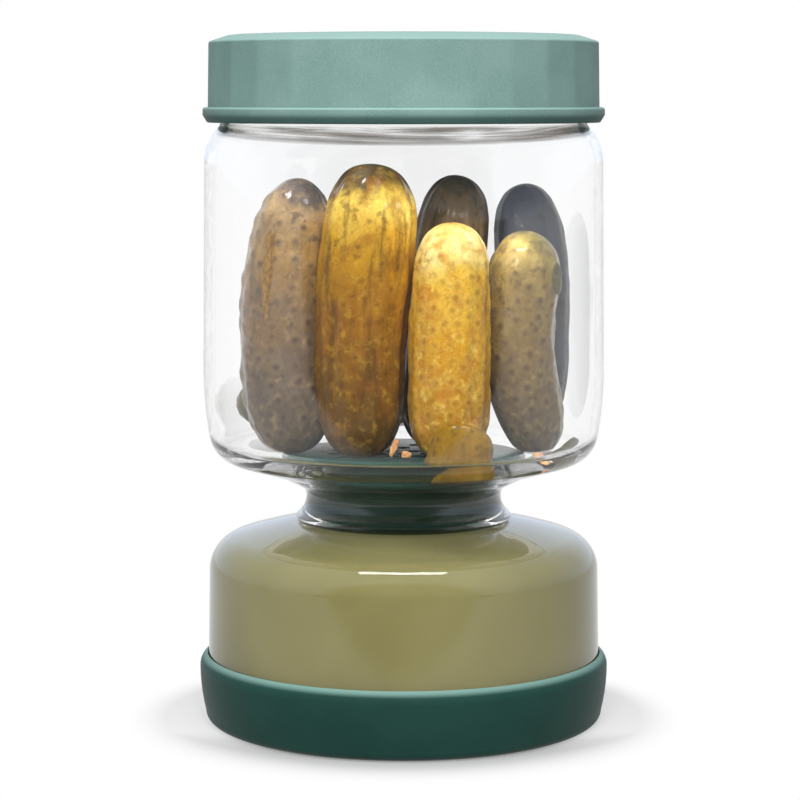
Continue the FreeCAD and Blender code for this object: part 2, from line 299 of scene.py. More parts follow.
class Nodes:
    """A node tree under construction."""

    def __init__(self, tree: bpy.types.NodeTree) -> None:
        """Takes over a tree and empties it."""
        self.tree = tree
        self.tree.nodes.clear()

    def node(self, kind: str, settings: Optional[dict[str, Any]] = None,
             **values: Any) -> bpy.types.Node:
        """Adds a node.

        Args:
            kind: The node's type.
            settings: Its properties by name.
            **values: Values or sockets for inputs, with _ for a space in their name.

        Returns:
            The node.
        """
        made = self.tree.nodes.new(kind)
        for key, value in (settings or {}).items():
            setattr(made, key, value)
        for key, value in values.items():
            self.put(made.inputs[key.replace("_", " ")], value)
        return made

    def put(self, socket: Socket, value: Any) -> None:
        """Sets an input to a value, or joins it to a socket.

        Args:
            socket: The input.
            value: A number, a colour, a vector or an output.
        """
        if isinstance(value, Socket):
            self.join(value, socket)
        elif isinstance(value, tuple) and len(value) == 3 and socket.type == "RGBA":
            socket.default_value = (*value, 1.0)
        else:
            socket.default_value = value

    def join(self, source: Socket, target: Socket) -> None:
        """Links an output to an input."""
        self.tree.links.new(source, target)

    def axes(self, vector: Socket) -> bpy.types.bpy_prop_collection:
        """Returns the X, Y and Z of a vector."""
        return self.node("ShaderNodeSeparateXYZ", Vector=vector).outputs

    def ramp(self, value: Any, low: float, high: float, to_low: float = 0.0,
             to_high: float = 1.0, kind: str = "SMOOTHSTEP") -> Socket:
        """Maps a value from one range to another.

        Args:
            value: The value.
            low: Where the first range starts.
            high: Where it ends.
            to_low: Result at the start and before it.
            to_high: Result at the end and past it.
            kind: How it goes from one to the other.

        Returns:
            The result.
        """
        return self.node("ShaderNodeMapRange", {"interpolation_type": kind}, Value=value,
                         From_Min=low, From_Max=high, To_Min=to_low,
                         To_Max=to_high).outputs["Result"]

    def math(self, kind: str, *values: Any) -> Socket:
        """Works something out from one, two or three values.

        Args:
            kind: Name of the operation.
            *values: The values it takes.

        Returns:
            The result.
        """
        made = self.node("ShaderNodeMath", {"operation": kind})
        for socket, value in zip(made.inputs, values):
            self.put(socket, value)
        return made.outputs[0]

    def mix(self, share: Any, a: Any, b: Any) -> Socket:
        """Mixes two colours.

        Args:
            share: Share of the second one.
            a: First colour.
            b: Second colour.

        Returns:
            The mixed colour.
        """
        made = self.node("ShaderNodeMix", {"data_type": "RGBA", "clamp_factor": True})
        for number, value in ((0, share), (6, a), (7, b)):
            self.put(made.inputs[number], value)
        return made.outputs[2]

    def choose(self, share: Any, a: Any, b: Any) -> Socket:
        """Chooses between two values.

        Args:
            share: 0 for the first and 1 for the second.
            a: First value.
            b: Second value.

        Returns:
            The value.
        """
        made = self.node("ShaderNodeMix", {"data_type": "FLOAT"})
        for number, value in ((0, share), (2, a), (3, b)):
            self.put(made.inputs[number], value)
        return made.outputs[0]


class Shader(Nodes):
    """A material under construction, round one Principled shader."""

    def __init__(self, name: str) -> None:
        """Makes the material with its shader and output.

        Args:
            name: Name of the material.
        """
        self.material = bpy.data.materials.new(name)
        self.material.use_nodes = True
        super().__init__(self.material.node_tree)
        self.principled = self.node("ShaderNodeBsdfPrincipled")
        self.output = self.node("ShaderNodeOutputMaterial")
        self.join(self.principled.outputs[0], self.output.inputs["Surface"])

    def set(self, **values: Any) -> None:
        """Sets inputs of the Principled shader by name."""
        for key, value in values.items():
            self.put(self.principled.inputs[key.replace("_", " ")], value)

    def place(self) -> Socket:
        """Returns the point on the object, in metres."""
        return self.node("ShaderNodeTexCoord").outputs["Object"]

    def attribute(self, name: str, output: str = "Fac") -> Socket:
        """Returns a value that the mesh stores at its points."""
        return self.node("ShaderNodeAttribute", {"attribute_name": name}).outputs[output]

    def grain(self, pattern: Grain, at: Optional[Socket] = None) -> Socket:
        """Adds a noise pattern.

        Args:
            pattern: Its scale and octaves.
            at: Point to read it at, if not the object's own.

        Returns:
            The noise.
        """
        return self.node("ShaderNodeTexNoise", Vector=at or self.place(), Scale=pattern.scale,
                         Detail=pattern.detail, Roughness=pattern.rough,
                         Distortion=pattern.warp).outputs["Fac"]

    def clouds(self, colour: Colour, shade: Colour, pattern: Grain,
               turn: Point = (0.35, 0.65)) -> Socket:
        """Mixes two close colours in soft clouds.

        Args:
            colour: The paler colour.
            shade: The darker one.
            pattern: Noise that places them.
            turn: Noise between which the darker one turns to the paler one.

        Returns:
            The colour.
        """
        return self.mix(self.ramp(self.grain(pattern), *turn), shade, colour)

    def cover(self, tone: Socket, colour: Colour, marks: Socket, share: float) -> Socket:
        """Lays marks of one colour over a tone.

        Args:
            tone: What is under them.
            colour: Their colour.
            marks: Where they are, 0 to 1.
            share: How much they hide.

        Returns:
            The colour.
        """
        return self.mix(self.math("MULTIPLY", marks, share), tone, colour)

    def bump(self, height: Socket, depth: float, strength: float = 1.0) -> Socket:
        """Turns a height into a normal.

        Args:
            height: The height, 0 to 1.
            depth: Metres that a height of 1 stands for.
            strength: Share of the effect.

        Returns:
            The normal.
        """
        return self.node("ShaderNodeBump", Strength=strength, Distance=depth,
                         Height=height).outputs["Normal"]

    def glow(self, strength: Any) -> Socket:
        """Returns a white shader that shines by itself."""
        return self.node("ShaderNodeEmission", Color=WHITE, Strength=strength).outputs[0]

    def by_ray(self, usual: Socket, *others: tuple[str, Socket]) -> None:
        """Gives the surface another shader for some kinds of ray.

        Args:
            usual: The shader for every other ray.
            *others: Each kind of ray, by the Light Path node's name, with its shader.
        """
        path = self.node("ShaderNodeLightPath")
        for ray, other in others:
            choice = self.node("ShaderNodeMixShader")
            for socket, value in zip(choice.inputs, (path.outputs[ray], usual, other)):
                self.join(value, socket)
            usual = choice.outputs[0]
        self.join(usual, self.output.inputs["Surface"])


@dataclass(frozen=True)
class SatinPlastic:
    """Moulded plastic with a fine satin grain, with painted light on faces that look up and painted
    shade under a bead.
    """

    name: str
    colour: Colour
    shade: Colour
    cloud: Grain = Grain(60)
    satin: Grain = Grain(1 / (0.35 * MM), 2, 0.6)
    satin_depth: float = 0.012 * MM
    # pale specks on the satin grain: painted glints
    speck: Colour = (0.8, 0.9, 0.87)
    speck_turn: Point = (0.35, 0.7)
    speck_share: float = 0.06
    rough_turn: Point = (0.3, 0.7)
    roughness: Point = (0.45, 0.57)
    shine: float = 0.05
    # painted light on faces that look up
    lit_edge: Colour = (0.30, 0.46, 0.42)
    lit_facing: Point = (0.2, 0.7)  # Z of the normal, from a side that starts to look up
    lit_share: float = 0.62
    flat_facing: Point = (0.965, 0.99)
    flat_share: float = 0.4  # how much of that paleness the flat top has
    # painted shade on faces that look down, under the bead
    under_edge: Colour = (0.03, 0.08, 0.07)
    under_facing: Point = (-0.45, -0.1)
    under_share: float = 0.75

    def build(self) -> bpy.types.Material:
        """Makes the material.

        Returns:
            The material.
        """
        s = Shader(self.name)
        tone = s.clouds(self.colour, self.shade, self.cloud)
        fine = s.grain(self.satin)
        # Painted glints: pale specks where the satin grain is high.
        tone = s.cover(tone, self.speck, s.ramp(fine, *self.speck_turn), self.speck_share)
        # Painted light and shade by the way a face looks: paler up, darker down.
        facing = s.axes(s.node("ShaderNodeNewGeometry").outputs["Normal"])["Z"]
        tilted = s.ramp(facing, *self.flat_facing, 1.0, self.flat_share)
        upward = s.ramp(facing, *self.lit_facing, 0.0, self.lit_share)
        downward = s.ramp(facing, *self.under_facing, self.under_share, 0.0)
        tone = s.mix(s.math("MULTIPLY", upward, tilted), tone, self.lit_edge)
        tone = s.mix(downward, tone, self.under_edge)
        s.set(Base_Color=tone, Specular_IOR_Level=self.shine,
              Roughness=s.ramp(fine, *self.rough_turn, *self.roughness),
              Normal=s.bump(fine, self.satin_depth))
        return s.material


@dataclass(frozen=True)
class SoftSilicone:
    """Matte silicone, with a painted highlight that makes it paler at the rim."""

    name: str
    colour: Colour
    shade: Colour
    # painted highlight on the rim
    bloom: Colour
    rim: Point = mm(16.9, 18.5)  # heights between which it turns paler
    cloud: Grain = Grain(45, 4)
    matte: Grain = Grain(2600, 2)
    matte_depth: float = 0.01 * MM
    roughness: float = 0.55
    shine: float = 0.15

    def build(self) -> bpy.types.Material:
        """Makes the material.

        Returns:
            The material.
        """
        s = Shader(self.name)
        tone = s.clouds(self.colour, self.shade, self.cloud)
        # Painted highlight: paler towards the rim, by height.
        tone = s.mix(s.ramp(s.axes(s.place())["Z"], *self.rim), tone, self.bloom)
        s.set(Base_Color=tone, Roughness=self.roughness, Specular_IOR_Level=self.shine,
              Sheen_Weight=0.05, Sheen_Roughness=0.4,
              Normal=s.bump(s.grain(self.matte), self.matte_depth))
        return s.material


@dataclass(frozen=True)
class Crescent:
    """Painted dark lines low on a glass neck, broad in front and narrow at the sides: a painted
    view of the dark threads under the lid through the glass.
    """

    low: float  # height at the sides
    rise: float  # how much higher it ends
    tilt: float = 0.06  # how much lower it starts for each metre forward
    # painted colour of the threads seen through the glass
    colour: Colour = (0.24, 0.22, 0.20)
    fade_in: Point = mm(-0.3, 0.2)  # both over its start
    fade_out: float = 0.5 * MM  # over its end
    edge: Point = mm(0.5, 1.3)  # where its dark lower edge fades, over its start
    edge_share: float = 0.8
    lines: Grain = Grain(1100, 3, 0.6)
    lines_turn: Point = (0.38, 0.60)
    lines_stretch: float = 0.035  # how much finer they are across than along
    lines_faint: float = 0.06

    def over(self, s: Shader, tint: Colour) -> Socket:
        """Lays the painted lines over the glass.

        Args:
            s: The glass under construction.
            tint: Colour of the glass.

        Returns:
            The colour with the lines in it.
        """
        axes = s.axes(s.place())
        leaning = s.math("MULTIPLY_ADD", axes["Y"], -self.tilt, axes["Z"])
        above = s.ramp(leaning, *(self.low + step for step in self.fade_in))
        top = self.low + self.rise
        below = s.ramp(axes["Z"], top, top + self.fade_out, 1.0, 0.0)
        along = s.node("ShaderNodeCombineXYZ", Z=leaning,
                       X=s.math("MULTIPLY", axes["X"], self.lines_stretch)).outputs[0]
        lines = s.ramp(s.grain(self.lines, along), *self.lines_turn, self.lines_faint, 1.0)
        edge = s.ramp(leaning, *(self.low + step for step in self.edge), 1.0, 0.0)
        strong = s.math("MAXIMUM", lines, s.math("MULTIPLY", edge, self.edge_share))
        inside = s.math("MULTIPLY", above, below)
        return s.mix(s.math("MULTIPLY", inside, strong), tint, self.colour)


@dataclass(frozen=True)
class ClearGlass:
    """Clear polished wall: it bends light a little and mirrors as glass does."""

    name: str
    tint: Colour = (0.998, 1.0, 1.0)
    bend: float = 1.2
    polish: float = 1.5
    gloss: float = 0.8
    crescent: Optional[Crescent] = None
    wave: Grain = Grain(40, 2)
    wave_depth: float = 0.15 * MM
    wave_share: float = 0.15
    let_through: Colour = (0.96, 0.97, 0.97)  # what reaches the things behind it

    def build(self) -> bpy.types.Material:
        """Makes the material.

        Returns:
            The material.
        """
        s = Shader(self.name)
        colour = self.crescent.over(s, self.tint) if self.crescent else self.tint
        wave = s.bump(s.grain(self.wave), self.wave_depth, self.wave_share)
        s.set(Base_Color=colour, Roughness=0.0, IOR=self.bend, Transmission_Weight=1.0,
              Coat_Weight=self.gloss, Coat_IOR=self.polish, Coat_Roughness=0.0, Normal=wave)
        clear = s.node("ShaderNodeBsdfTransparent", Color=self.let_through).outputs[0]
        s.by_ray(s.principled.outputs[0], ("Is Diffuse Ray", clear), ("Is Shadow Ray", clear))
        return s.material


@dataclass(frozen=True)
class CloudyBrine:
    """Cloudy pickling brine that fills the lower chamber."""

    name: str
    colour: Colour
    deep: Colour
    cloud: Grain = Grain(28, 3, 0.5, 0.6)
    depth: float = 4.0 * MM  # how far light goes into it
    depth_share: Colour = (1.0, 0.8, 0.35)  # of that depth, for red, green and blue

    def build(self) -> bpy.types.Material:
        """Makes the material.

        Returns:
            The material.
        """
        s = Shader(self.name)
        s.set(Base_Color=s.clouds(self.colour, self.deep, self.cloud), Roughness=0.6,
              Specular_IOR_Level=0.0, Sheen_Weight=0.3, Sheen_Roughness=0.4,
              Subsurface_Weight=0.3, Subsurface_Scale=self.depth,
              Subsurface_Radius=self.depth_share)
        return s.material


@dataclass(frozen=True)
class MouldedPlastic:
    """Glossy moulded plastic."""

    name: str
    colour: Colour
    shade: Colour
    roughness: float = 0.25
    cloud: Grain = Grain(90)
    cloud_turn: Point = (0.3, 0.7)
    ripple: Grain = Grain(900, 2)
    ripple_depth: float = 0.015 * MM

    def build(self) -> bpy.types.Material:
        """Makes the material.

        Returns:
            The material.
        """
        s = Shader(self.name)
        s.set(Base_Color=s.clouds(self.colour, self.shade, self.cloud, self.cloud_turn),
              Roughness=self.roughness, Normal=s.bump(s.grain(self.ripple), self.ripple_depth))
        return s.material


@dataclass(frozen=True)
class Marks:
    """A kind of mark on a skin, from a noise pattern."""

    pattern: Grain
    low: float  # noise at which a mark starts
    high: float  # noise from which it is full

    def on(self, s: Shader, at: Optional[Socket] = None) -> Socket:
        """Returns where the marks are, 0 to 1."""
        return s.ramp(s.grain(self.pattern, at), self.low, self.high)


PATCHES = Marks(Grain(120, 4, 0.6, 0.6), 0.48, 0.64)
STREAKS = Marks(Grain(210, 4, 0.62, 0.3), 0.50, 0.68)
# Pale flecks: partly the skin's mottling, partly painted wet sparkle.
FLECKS = Marks(Grain(340, 5, 0.64, 0.25), 0.50, 0.74)
BLOTS = Marks(Grain(290, 5, 0.62, 0.3), 0.54, 0.68)


@dataclass(frozen=True)
class GherkinSkin:
    """Wet pickled skin, streaked, mottled and spotted, with painted light from foot to head."""

    # each skin's own colour with painted light: darker at the foot and paler towards the head
    tones: tuple[tuple[float, Colour], ...]  # share of the length, colour
    spot: Colour
    pale: Colour
    streak: Colour
    patch: Colour
    spots: float = 0.7
    flecks: float = 0.5
    streaks: float = 0.4
    patches: float = 0.4
    blot_share: float = 0.8  # how strong blots are beside spots
    waver: Grain = Grain(80)
    waver_share: float = 0.30  # how unevenly the tones meet
    pore: Grain = Grain(1500, 3, 0.65)
    pore_colour: Colour = (0.02, 0.012, 0.004)
    pore_turn: Point = (0.3, 0.72)
    pore_share: float = 0.24
    rough_turn: Point = (0.3, 0.7)
    roughness: Point = (0.34, 0.5)
    bump: Grain = Grain(250, 5, 0.62, 0.35)
    fine_bump: Grain = Grain(1100, 4, 0.7, 1.0)
    fine_share: float = 0.30
    bump_depth: float = 0.22 * MM
    wet: float = 0.8
    wet_relief: float = 0.22  # share of the relief that shows in the wet film

    def tone(self, s: Shader) -> Socket:
        """Adds the colours along the gherkin, with their painted light.

        Returns:
            The colour from foot to head, before any marks.
        """
        waver = s.math("MULTIPLY", s.math("SUBTRACT", s.grain(self.waver), 0.5), self.waver_share)
        ramp = s.node("ShaderNodeValToRGB", Fac=s.math("ADD", s.attribute("along"), waver))
        stops = ramp.color_ramp.elements
        while len(stops) < len(self.tones):
            stops.new(0.5)
        for stop, (share, colour) in zip(stops, self.tones):
            stop.position = share
            stop.color = (*colour, 1.0)
        return ramp.outputs["Color"]

    def build(self, name: str) -> bpy.types.Material:
        """Makes the material.

        Args:
            name: Its name.

        Returns:
            The material.
        """
        s = Shader(name)
        tone = self.tone(s)
        length = s.attribute("streak", "Vector")
        # The pale flecks are partly painted wet sparkle.
        for colour, marks, share in (
                (self.patch, PATCHES.on(s), self.patches),
                (self.streak, STREAKS.on(s, length), self.streaks),
                (self.pale, FLECKS.on(s), self.flecks),
                (self.spot, BLOTS.on(s), self.blot_share * self.spots),
                (self.pale, s.attribute("halo"), self.flecks),
                (self.spot, s.attribute("dot"), self.spots)):
            tone = s.cover(tone, colour, marks, share)
        pore = s.grain(self.pore)
        tone = s.mix(s.ramp(pore, *self.pore_turn, 0.0, self.pore_share), tone, self.pore_colour)
        relief = s.math("ADD", s.math("MULTIPLY", s.grain(self.fine_bump), self.fine_share),
                        s.grain(self.bump))
        s.set(Base_Color=tone, Roughness=s.ramp(pore, *self.rough_turn, *self.roughness),
              Normal=s.bump(relief, self.bump_depth), Specular_IOR_Level=0.1,
              Coat_Weight=self.wet, Coat_Roughness=0.14, Coat_IOR=1.34,
              Coat_Normal=s.bump(relief, self.wet_relief * self.bump_depth))
        return s.material


@dataclass(frozen=True)
class SoftFlesh:
    """Soft wet flesh for seeds, scraps and the sheet of a painted reflection."""

    name: str
    colour: Colour
    shade: Colour
    cloud: Grain = Grain(900)
    depth: float = 1.0 * MM  # how far light goes into it
    skin: Grain = Grain(1500, 2)
    skin_depth: float = 0.05 * MM

    def build(self) -> bpy.types.Material:
        """Makes the material.

        Returns:
            The material.
        """
        s = Shader(self.name)
        s.set(Base_Color=s.clouds(self.colour, self.shade, self.cloud), Roughness=0.3,
              Coat_Weight=0.4, Subsurface_Weight=0.3, Subsurface_Scale=self.depth,
              Normal=s.bump(s.grain(self.skin), self.skin_depth))
        return s.material


class Skin(Enum):
    """The kinds of gherkin skin in the jar."""

    # The colours along each skin hold painted light: darker towards the foot, paler towards the
    # head.
    TAN = GherkinSkin(
        ((0.0, srgb(82, 72, 58)), (0.25, srgb(94, 79, 64)), (0.5, srgb(130, 100, 64)),
         (0.75, srgb(170, 132, 76)), (0.9, srgb(176, 146, 102)), (0.97, srgb(84, 76, 72))),
        spot=srgb(62, 42, 50), pale=srgb(214, 178, 120), streak=srgb(94, 72, 56),
        patch=srgb(112, 98, 86), spots=0.75, flecks=0.35, streaks=0.5, patches=0.5)
    # Painted highlight in the pale band at 0.87 of the length, and a painted reflection of the dark
    # room in the dark crown from 0.93.
    AMBER = GherkinSkin(
        ((0.0, srgb(92, 64, 20)), (0.25, srgb(116, 80, 22)), (0.5, srgb(160, 106, 22)),
         (0.68, srgb(196, 142, 26)), (0.76, srgb(216, 162, 38)), (0.87, srgb(255, 216, 96)),
         (0.93, srgb(96, 82, 56)), (1.0, srgb(28, 26, 26))),
        spot=srgb(96, 58, 22), pale=srgb(230, 180, 60), streak=srgb(76, 50, 8),
        patch=srgb(150, 92, 26), flecks=0.4, streaks=0.65, patches=0.55)
    # Painted highlight in the near-white band at 0.9 of the length.
    YELLOW = GherkinSkin(
        ((0.0, srgb(144, 96, 12)), (0.2, srgb(186, 128, 18)), (0.5, srgb(224, 160, 30)),
         (0.78, srgb(246, 192, 60)), (0.9, srgb(255, 240, 166)), (1.0, srgb(240, 196, 84))),
        spot=srgb(140, 82, 24), pale=srgb(250, 212, 96), streak=srgb(184, 118, 30),
        patch=srgb(206, 134, 44), spots=0.5, flecks=0.9, streaks=0.6, patches=0.8)
    OLIVE = GherkinSkin(
        ((0.0, srgb(74, 68, 64)), (0.2, srgb(94, 80, 62)), (0.5, srgb(128, 103, 62)),
         (0.75, srgb(156, 130, 72)), (0.92, srgb(180, 156, 84)), (1.0, srgb(140, 128, 70))),
        spot=srgb(66, 46, 42), pale=srgb(204, 178, 108), streak=srgb(102, 80, 54),
        patch=srgb(104, 86, 72), flecks=0.35, streaks=0.35, patches=0.5)
    UMBER = GherkinSkin(
        ((0.0, srgb(56, 42, 22)), (0.5, srgb(74, 54, 24)), (0.8, srgb(122, 98, 64)),
         (0.93, srgb(96, 86, 70)), (1.0, srgb(70, 66, 60))),
        spot=srgb(44, 32, 18), pale=srgb(132, 102, 62), streak=srgb(40, 28, 12),
        patch=srgb(90, 82, 72), spots=0.4, flecks=0.4, streaks=0.8, wet=0.25)
    SLATE = GherkinSkin(
        ((0.0, srgb(80, 82, 88)), (0.5, srgb(78, 80, 90)), (1.0, srgb(68, 72, 84))),
        spot=srgb(38, 38, 44), pale=srgb(96, 94, 90), streak=srgb(44, 44, 48),
        patch=srgb(76, 70, 62), spots=0.5, flecks=0.3, wet=0.25)
    PALE = GherkinSkin(
        ((0.0, srgb(122, 108, 80)), (0.5, srgb(130, 114, 86)), (1.0, srgb(118, 108, 86))),
        spot=srgb(84, 72, 56), pale=srgb(150, 136, 106), streak=srgb(104, 90, 66),
        patch=srgb(112, 98, 72))
    STUB = GherkinSkin(
        ((0.0, srgb(84, 58, 0)), (0.4, srgb(136, 98, 0)), (1.0, srgb(156, 114, 2))),
        spot=srgb(72, 48, 12), pale=srgb(176, 138, 30), streak=srgb(84, 60, 8),
        patch=srgb(150, 124, 40), spots=0.6, flecks=0.4)


def dress(piece: bpy.types.Object, material: bpy.types.Material) -> None:
    """Gives every face of a piece one material.

    Args:
        piece: The piece.
        material: Its finish.
    """
    piece.data.materials.clear()
    piece.data.materials.append(material)
    for face in piece.data.polygons:
        face.material_index = 0


def settle(piece: bpy.types.Object, slot: str, *nodes: str) -> None:
    """Rides a piece on the jar and hides the nodes that it stands for.

    Args:
        piece: The piece.
        slot: Not used.
        *nodes: The nodes that it stands for.
    """
    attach(piece, "root")
    if nodes:
        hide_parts(*nodes)
    LOG.info("%s: %d faces", piece.name, len(piece.data.polygons))


# --- lower chamber ----------------------------------------------------------------------
@dataclass
class LowerChamber:
    """The wide, low chamber and the brine in it."""

    wall: float = 2.4 * MM
    foot_corner: float = 6.5 * MM
    side_length: float = 32.8 * MM
    taper: float = 0.6 * MM
    shoulder: float = 9.7 * MM
    crown_slope: float = 16.0
    crown_round: float = 165.0 * MM
    bore_r: float = 24.3 * MM
    seat_r: float = 29.6 * MM
    sink: float = 0.35 * MM  # how far the brine reaches into the wall
    foot_z: float = field(init=False)
    radius: float = field(init=False)

    def __post_init__(self) -> None:
        """Reads the chamber's foot and radius from the frame."""
        low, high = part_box("lower_glass")
        self.foot_z = low.z
        self.radius = (high.x - low.x) / 2

    def outline(self, depth: float, end_r: float) -> Outline:
        """Follows the outside, moved inwards.

        Args:
            depth: How far inwards.
            end_r: Radius where the crown ends.

        Returns:
            The outline from the axis up to the crown's end.
        """
        lean = math.degrees(math.atan(self.taper / self.side_length))
        path = Outline(0, self.foot_z + depth, 0)
        path.line(self.radius - self.foot_corner)
        path.arc(self.foot_corner - depth, 90 + lean)
        path.line(self.side_length)
        path.arc(self.shoulder - depth, 90 - lean - self.crown_slope)
        path.arc_to_r(self.crown_round - depth, end_r, Outline.FINE_STEP)
        return path

    def glass(self) -> bpy.types.Object:
        """Makes the chamber's wall.

        Returns:
            Its mesh object.
        """
        outside = self.outline(0, self.seat_r)
        inside = self.outline(self.wall, self.bore_r)
        rim = [(self.bore_r, outside.z)]
        ring = outside.points + rim + inside.points[::-1]
        return revolve("lower_chamber_wall", ring)

    def brine(self) -> bpy.types.Object:
        """Returns the brine, which reaches just into the wall."""
        path = self.outline(self.wall - self.sink, self.bore_r - self.sink)
        return revolve("cloudy_brine", path.points + [(0, path.z)])

    def build(self, glass: bpy.types.Material, brine: bpy.types.Material) -> None:
        """Makes and dresses both pieces.

        Args:
            glass: Finish of the wall.
            brine: Finish of the brine.
        """
        wall, filling = self.glass(), self.brine()
        dress(wall, glass)
        dress(filling, brine)
        settle(wall, "clear_glass", "lower_glass")
        settle(filling, "brine", "brine")


# --- upper chamber ----------------------------------------------------------------------
@dataclass
class UpperChamber:
    """The waist with its collar, the upper chamber and the finish under the lid."""

    wall: float = 2.4 * MM
    throat_r: float = 26.7 * MM
    lip_reach: float = 2.8 * MM
    lip_round: float = 1.2 * MM
    throat_below: float = 6.3 * MM
    throat_above: float = 3.2 * MM
    collar_slope: float = 27.0
    collar_reach: float = 7.6 * MM
    taper: float = 0.65
    floor_slope: float = 16.0
    floor_edge: float = 2.0 * MM
    floor_wall: float = 4.0 * MM
    foot_corner: float = 8.5 * MM
    hollow_corner: float = 4.0 * MM
    bore_edge: float = 3.0 * MM
    barrel_round: float = 104.5 * MM
    barrel_turn: float = 10.1
    side_length: float = 55.2 * MM
    shoulder: float = 14.5 * MM
    shoulder_turn: float = 44.0
    finish_round: float = 1.5 * MM
    finish_length: float = 20.2 * MM
    seal_gap: float = 0.05 * MM
    seat_z: float = field(init=False)
    radius: float = field(init=False)
    floor_start: Point = field(init=False)  # where the outside's floor slope starts
    barrel_centre: Point = field(init=False)

    def __post_init__(self) -> None:
        """Reads the seat's height and the chamber's radius from the frame."""
        low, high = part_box("upper_glass")
        self.seat_z = low.z
        self.radius = (high.x - low.x) / 2

    @property
    def bore_r(self) -> float:
        """Inside radius of the waist."""
        return self.throat_r - self.wall

    def lip(self) -> Outline:
        """Draws the collar.

        Returns:
            The outline from the seat round the collar's lip to the throat.
        """
        lip_r = self.throat_r + self.lip_reach
        path = Outline(self.bore_r, self.seat_z + self.seal_gap, 0)
        path.line_to_r(lip_r - self.lip_round)
        apart = self.throat_r + self.throat_below - (lip_r - self.lip_round)
        lean = math.degrees(math.acos(apart / (self.lip_round + self.throat_below)))
        path.arc(self.lip_round, 90 + lean, step=10)
        path.arc(self.throat_below, -lean)
        return path

    def outside(self, throat_z: float) -> Outline:
        """Follows the outside from the throat up to the finish's top.

        Args:
            throat_z: Height at which the throat starts.

        Returns:
            The outline.
        """
        path = Outline(self.throat_r, throat_z, 90)
        path.arc(self.throat_above, self.collar_slope - 90)
        path.line_to_r(self.throat_r + self.collar_reach)
        path.arc(self.floor_edge, self.floor_slope - self.collar_slope)
        self.floor_start = (path.r, path.z)
        barrel = math.radians(self.barrel_turn)
        swell = (self.barrel_round - self.foot_corner) * (1 - math.cos(barrel))
        corner_r = self.radius - swell - self.foot_corner
        path.line_to_r(corner_r + self.foot_corner * math.sin(math.radians(self.floor_slope)))
        path.arc(self.foot_corner, 90 - self.barrel_turn - self.floor_slope)
        angle = math.radians(path.heading + 90)
        self.barrel_centre = (path.r + self.barrel_round * math.cos(angle),
                              path.z + self.barrel_round * math.sin(angle))
        path.arc(self.barrel_round, self.barrel_turn + self.taper, Outline.FINE_STEP)
        path.line(self.side_length)
        path.arc(self.shoulder, self.shoulder_turn - self.taper)
        path.arc(self.finish_round, -self.shoulder_turn, step=8)
        return path.line(self.finish_length)

    def floor_z(self, r: float) -> float:
        """Gives the height of the floor's inner face, on its straight slope.

        Args:
            r: Radius there.

        Returns:
            The height.
        """
        slope = math.radians(self.floor_slope)
        start_r, start_z = self.floor_start
        return start_z + (r - start_r) * math.tan(slope) + self.floor_wall / math.cos(slope)

    def inside(self) -> Outline:
        """Draws the hollow.

        Returns:
            The outline from the bore over the floor and up.
        """
        slope = math.radians(self.floor_slope)
        barrel_r = self.barrel_round - self.wall
        centre_r, centre_z = self.barrel_centre
        above = (centre_z - self.floor_z(centre_r)) * math.cos(slope) - self.hollow_corner
        barrel = math.asin(above / (barrel_r - self.hollow_corner)) - slope
        corner_r = centre_r + (barrel_r - self.hollow_corner) * math.cos(barrel)
        edge_z = self.floor_z(self.bore_r + self.bore_edge)
        path = Outline(self.bore_r, edge_z - self.bore_edge / math.cos(slope), 90)
        path.arc(self.bore_edge, self.floor_slope - 90)
        path.line_to_r(corner_r + self.hollow_corner * math.sin(slope))
        path.arc(self.hollow_corner, 90 - math.degrees(barrel) - self.floor_slope)
        path.arc(barrel_r, math.degrees(barrel) + self.taper, Outline.FINE_STEP)
        path.line(self.side_length)
        path.arc(self.shoulder - self.wall, self.shoulder_turn - self.taper)
        path.arc(self.finish_round + self.wall, -self.shoulder_turn, step=8)
        return path.line(self.finish_length)

    def glass(self) -> bpy.types.Object:
        """Makes the chamber's wall, with the waist and the collar.

        Returns:
            Its mesh object.
        """
        lip = self.lip()
        ring = lip.points + self.outside(lip.z).points[1:] + self.inside().points[::-1]
        return revolve("upper_chamber_wall", ring, closed=True)

    def build(self, glass: bpy.types.Material) -> None:
        """Makes and dresses the wall.

        Args:
            glass: Finish of the wall.
        """
        wall = self.glass()
        dress(wall, glass)
        settle(wall, "clear_glass", "upper_glass")


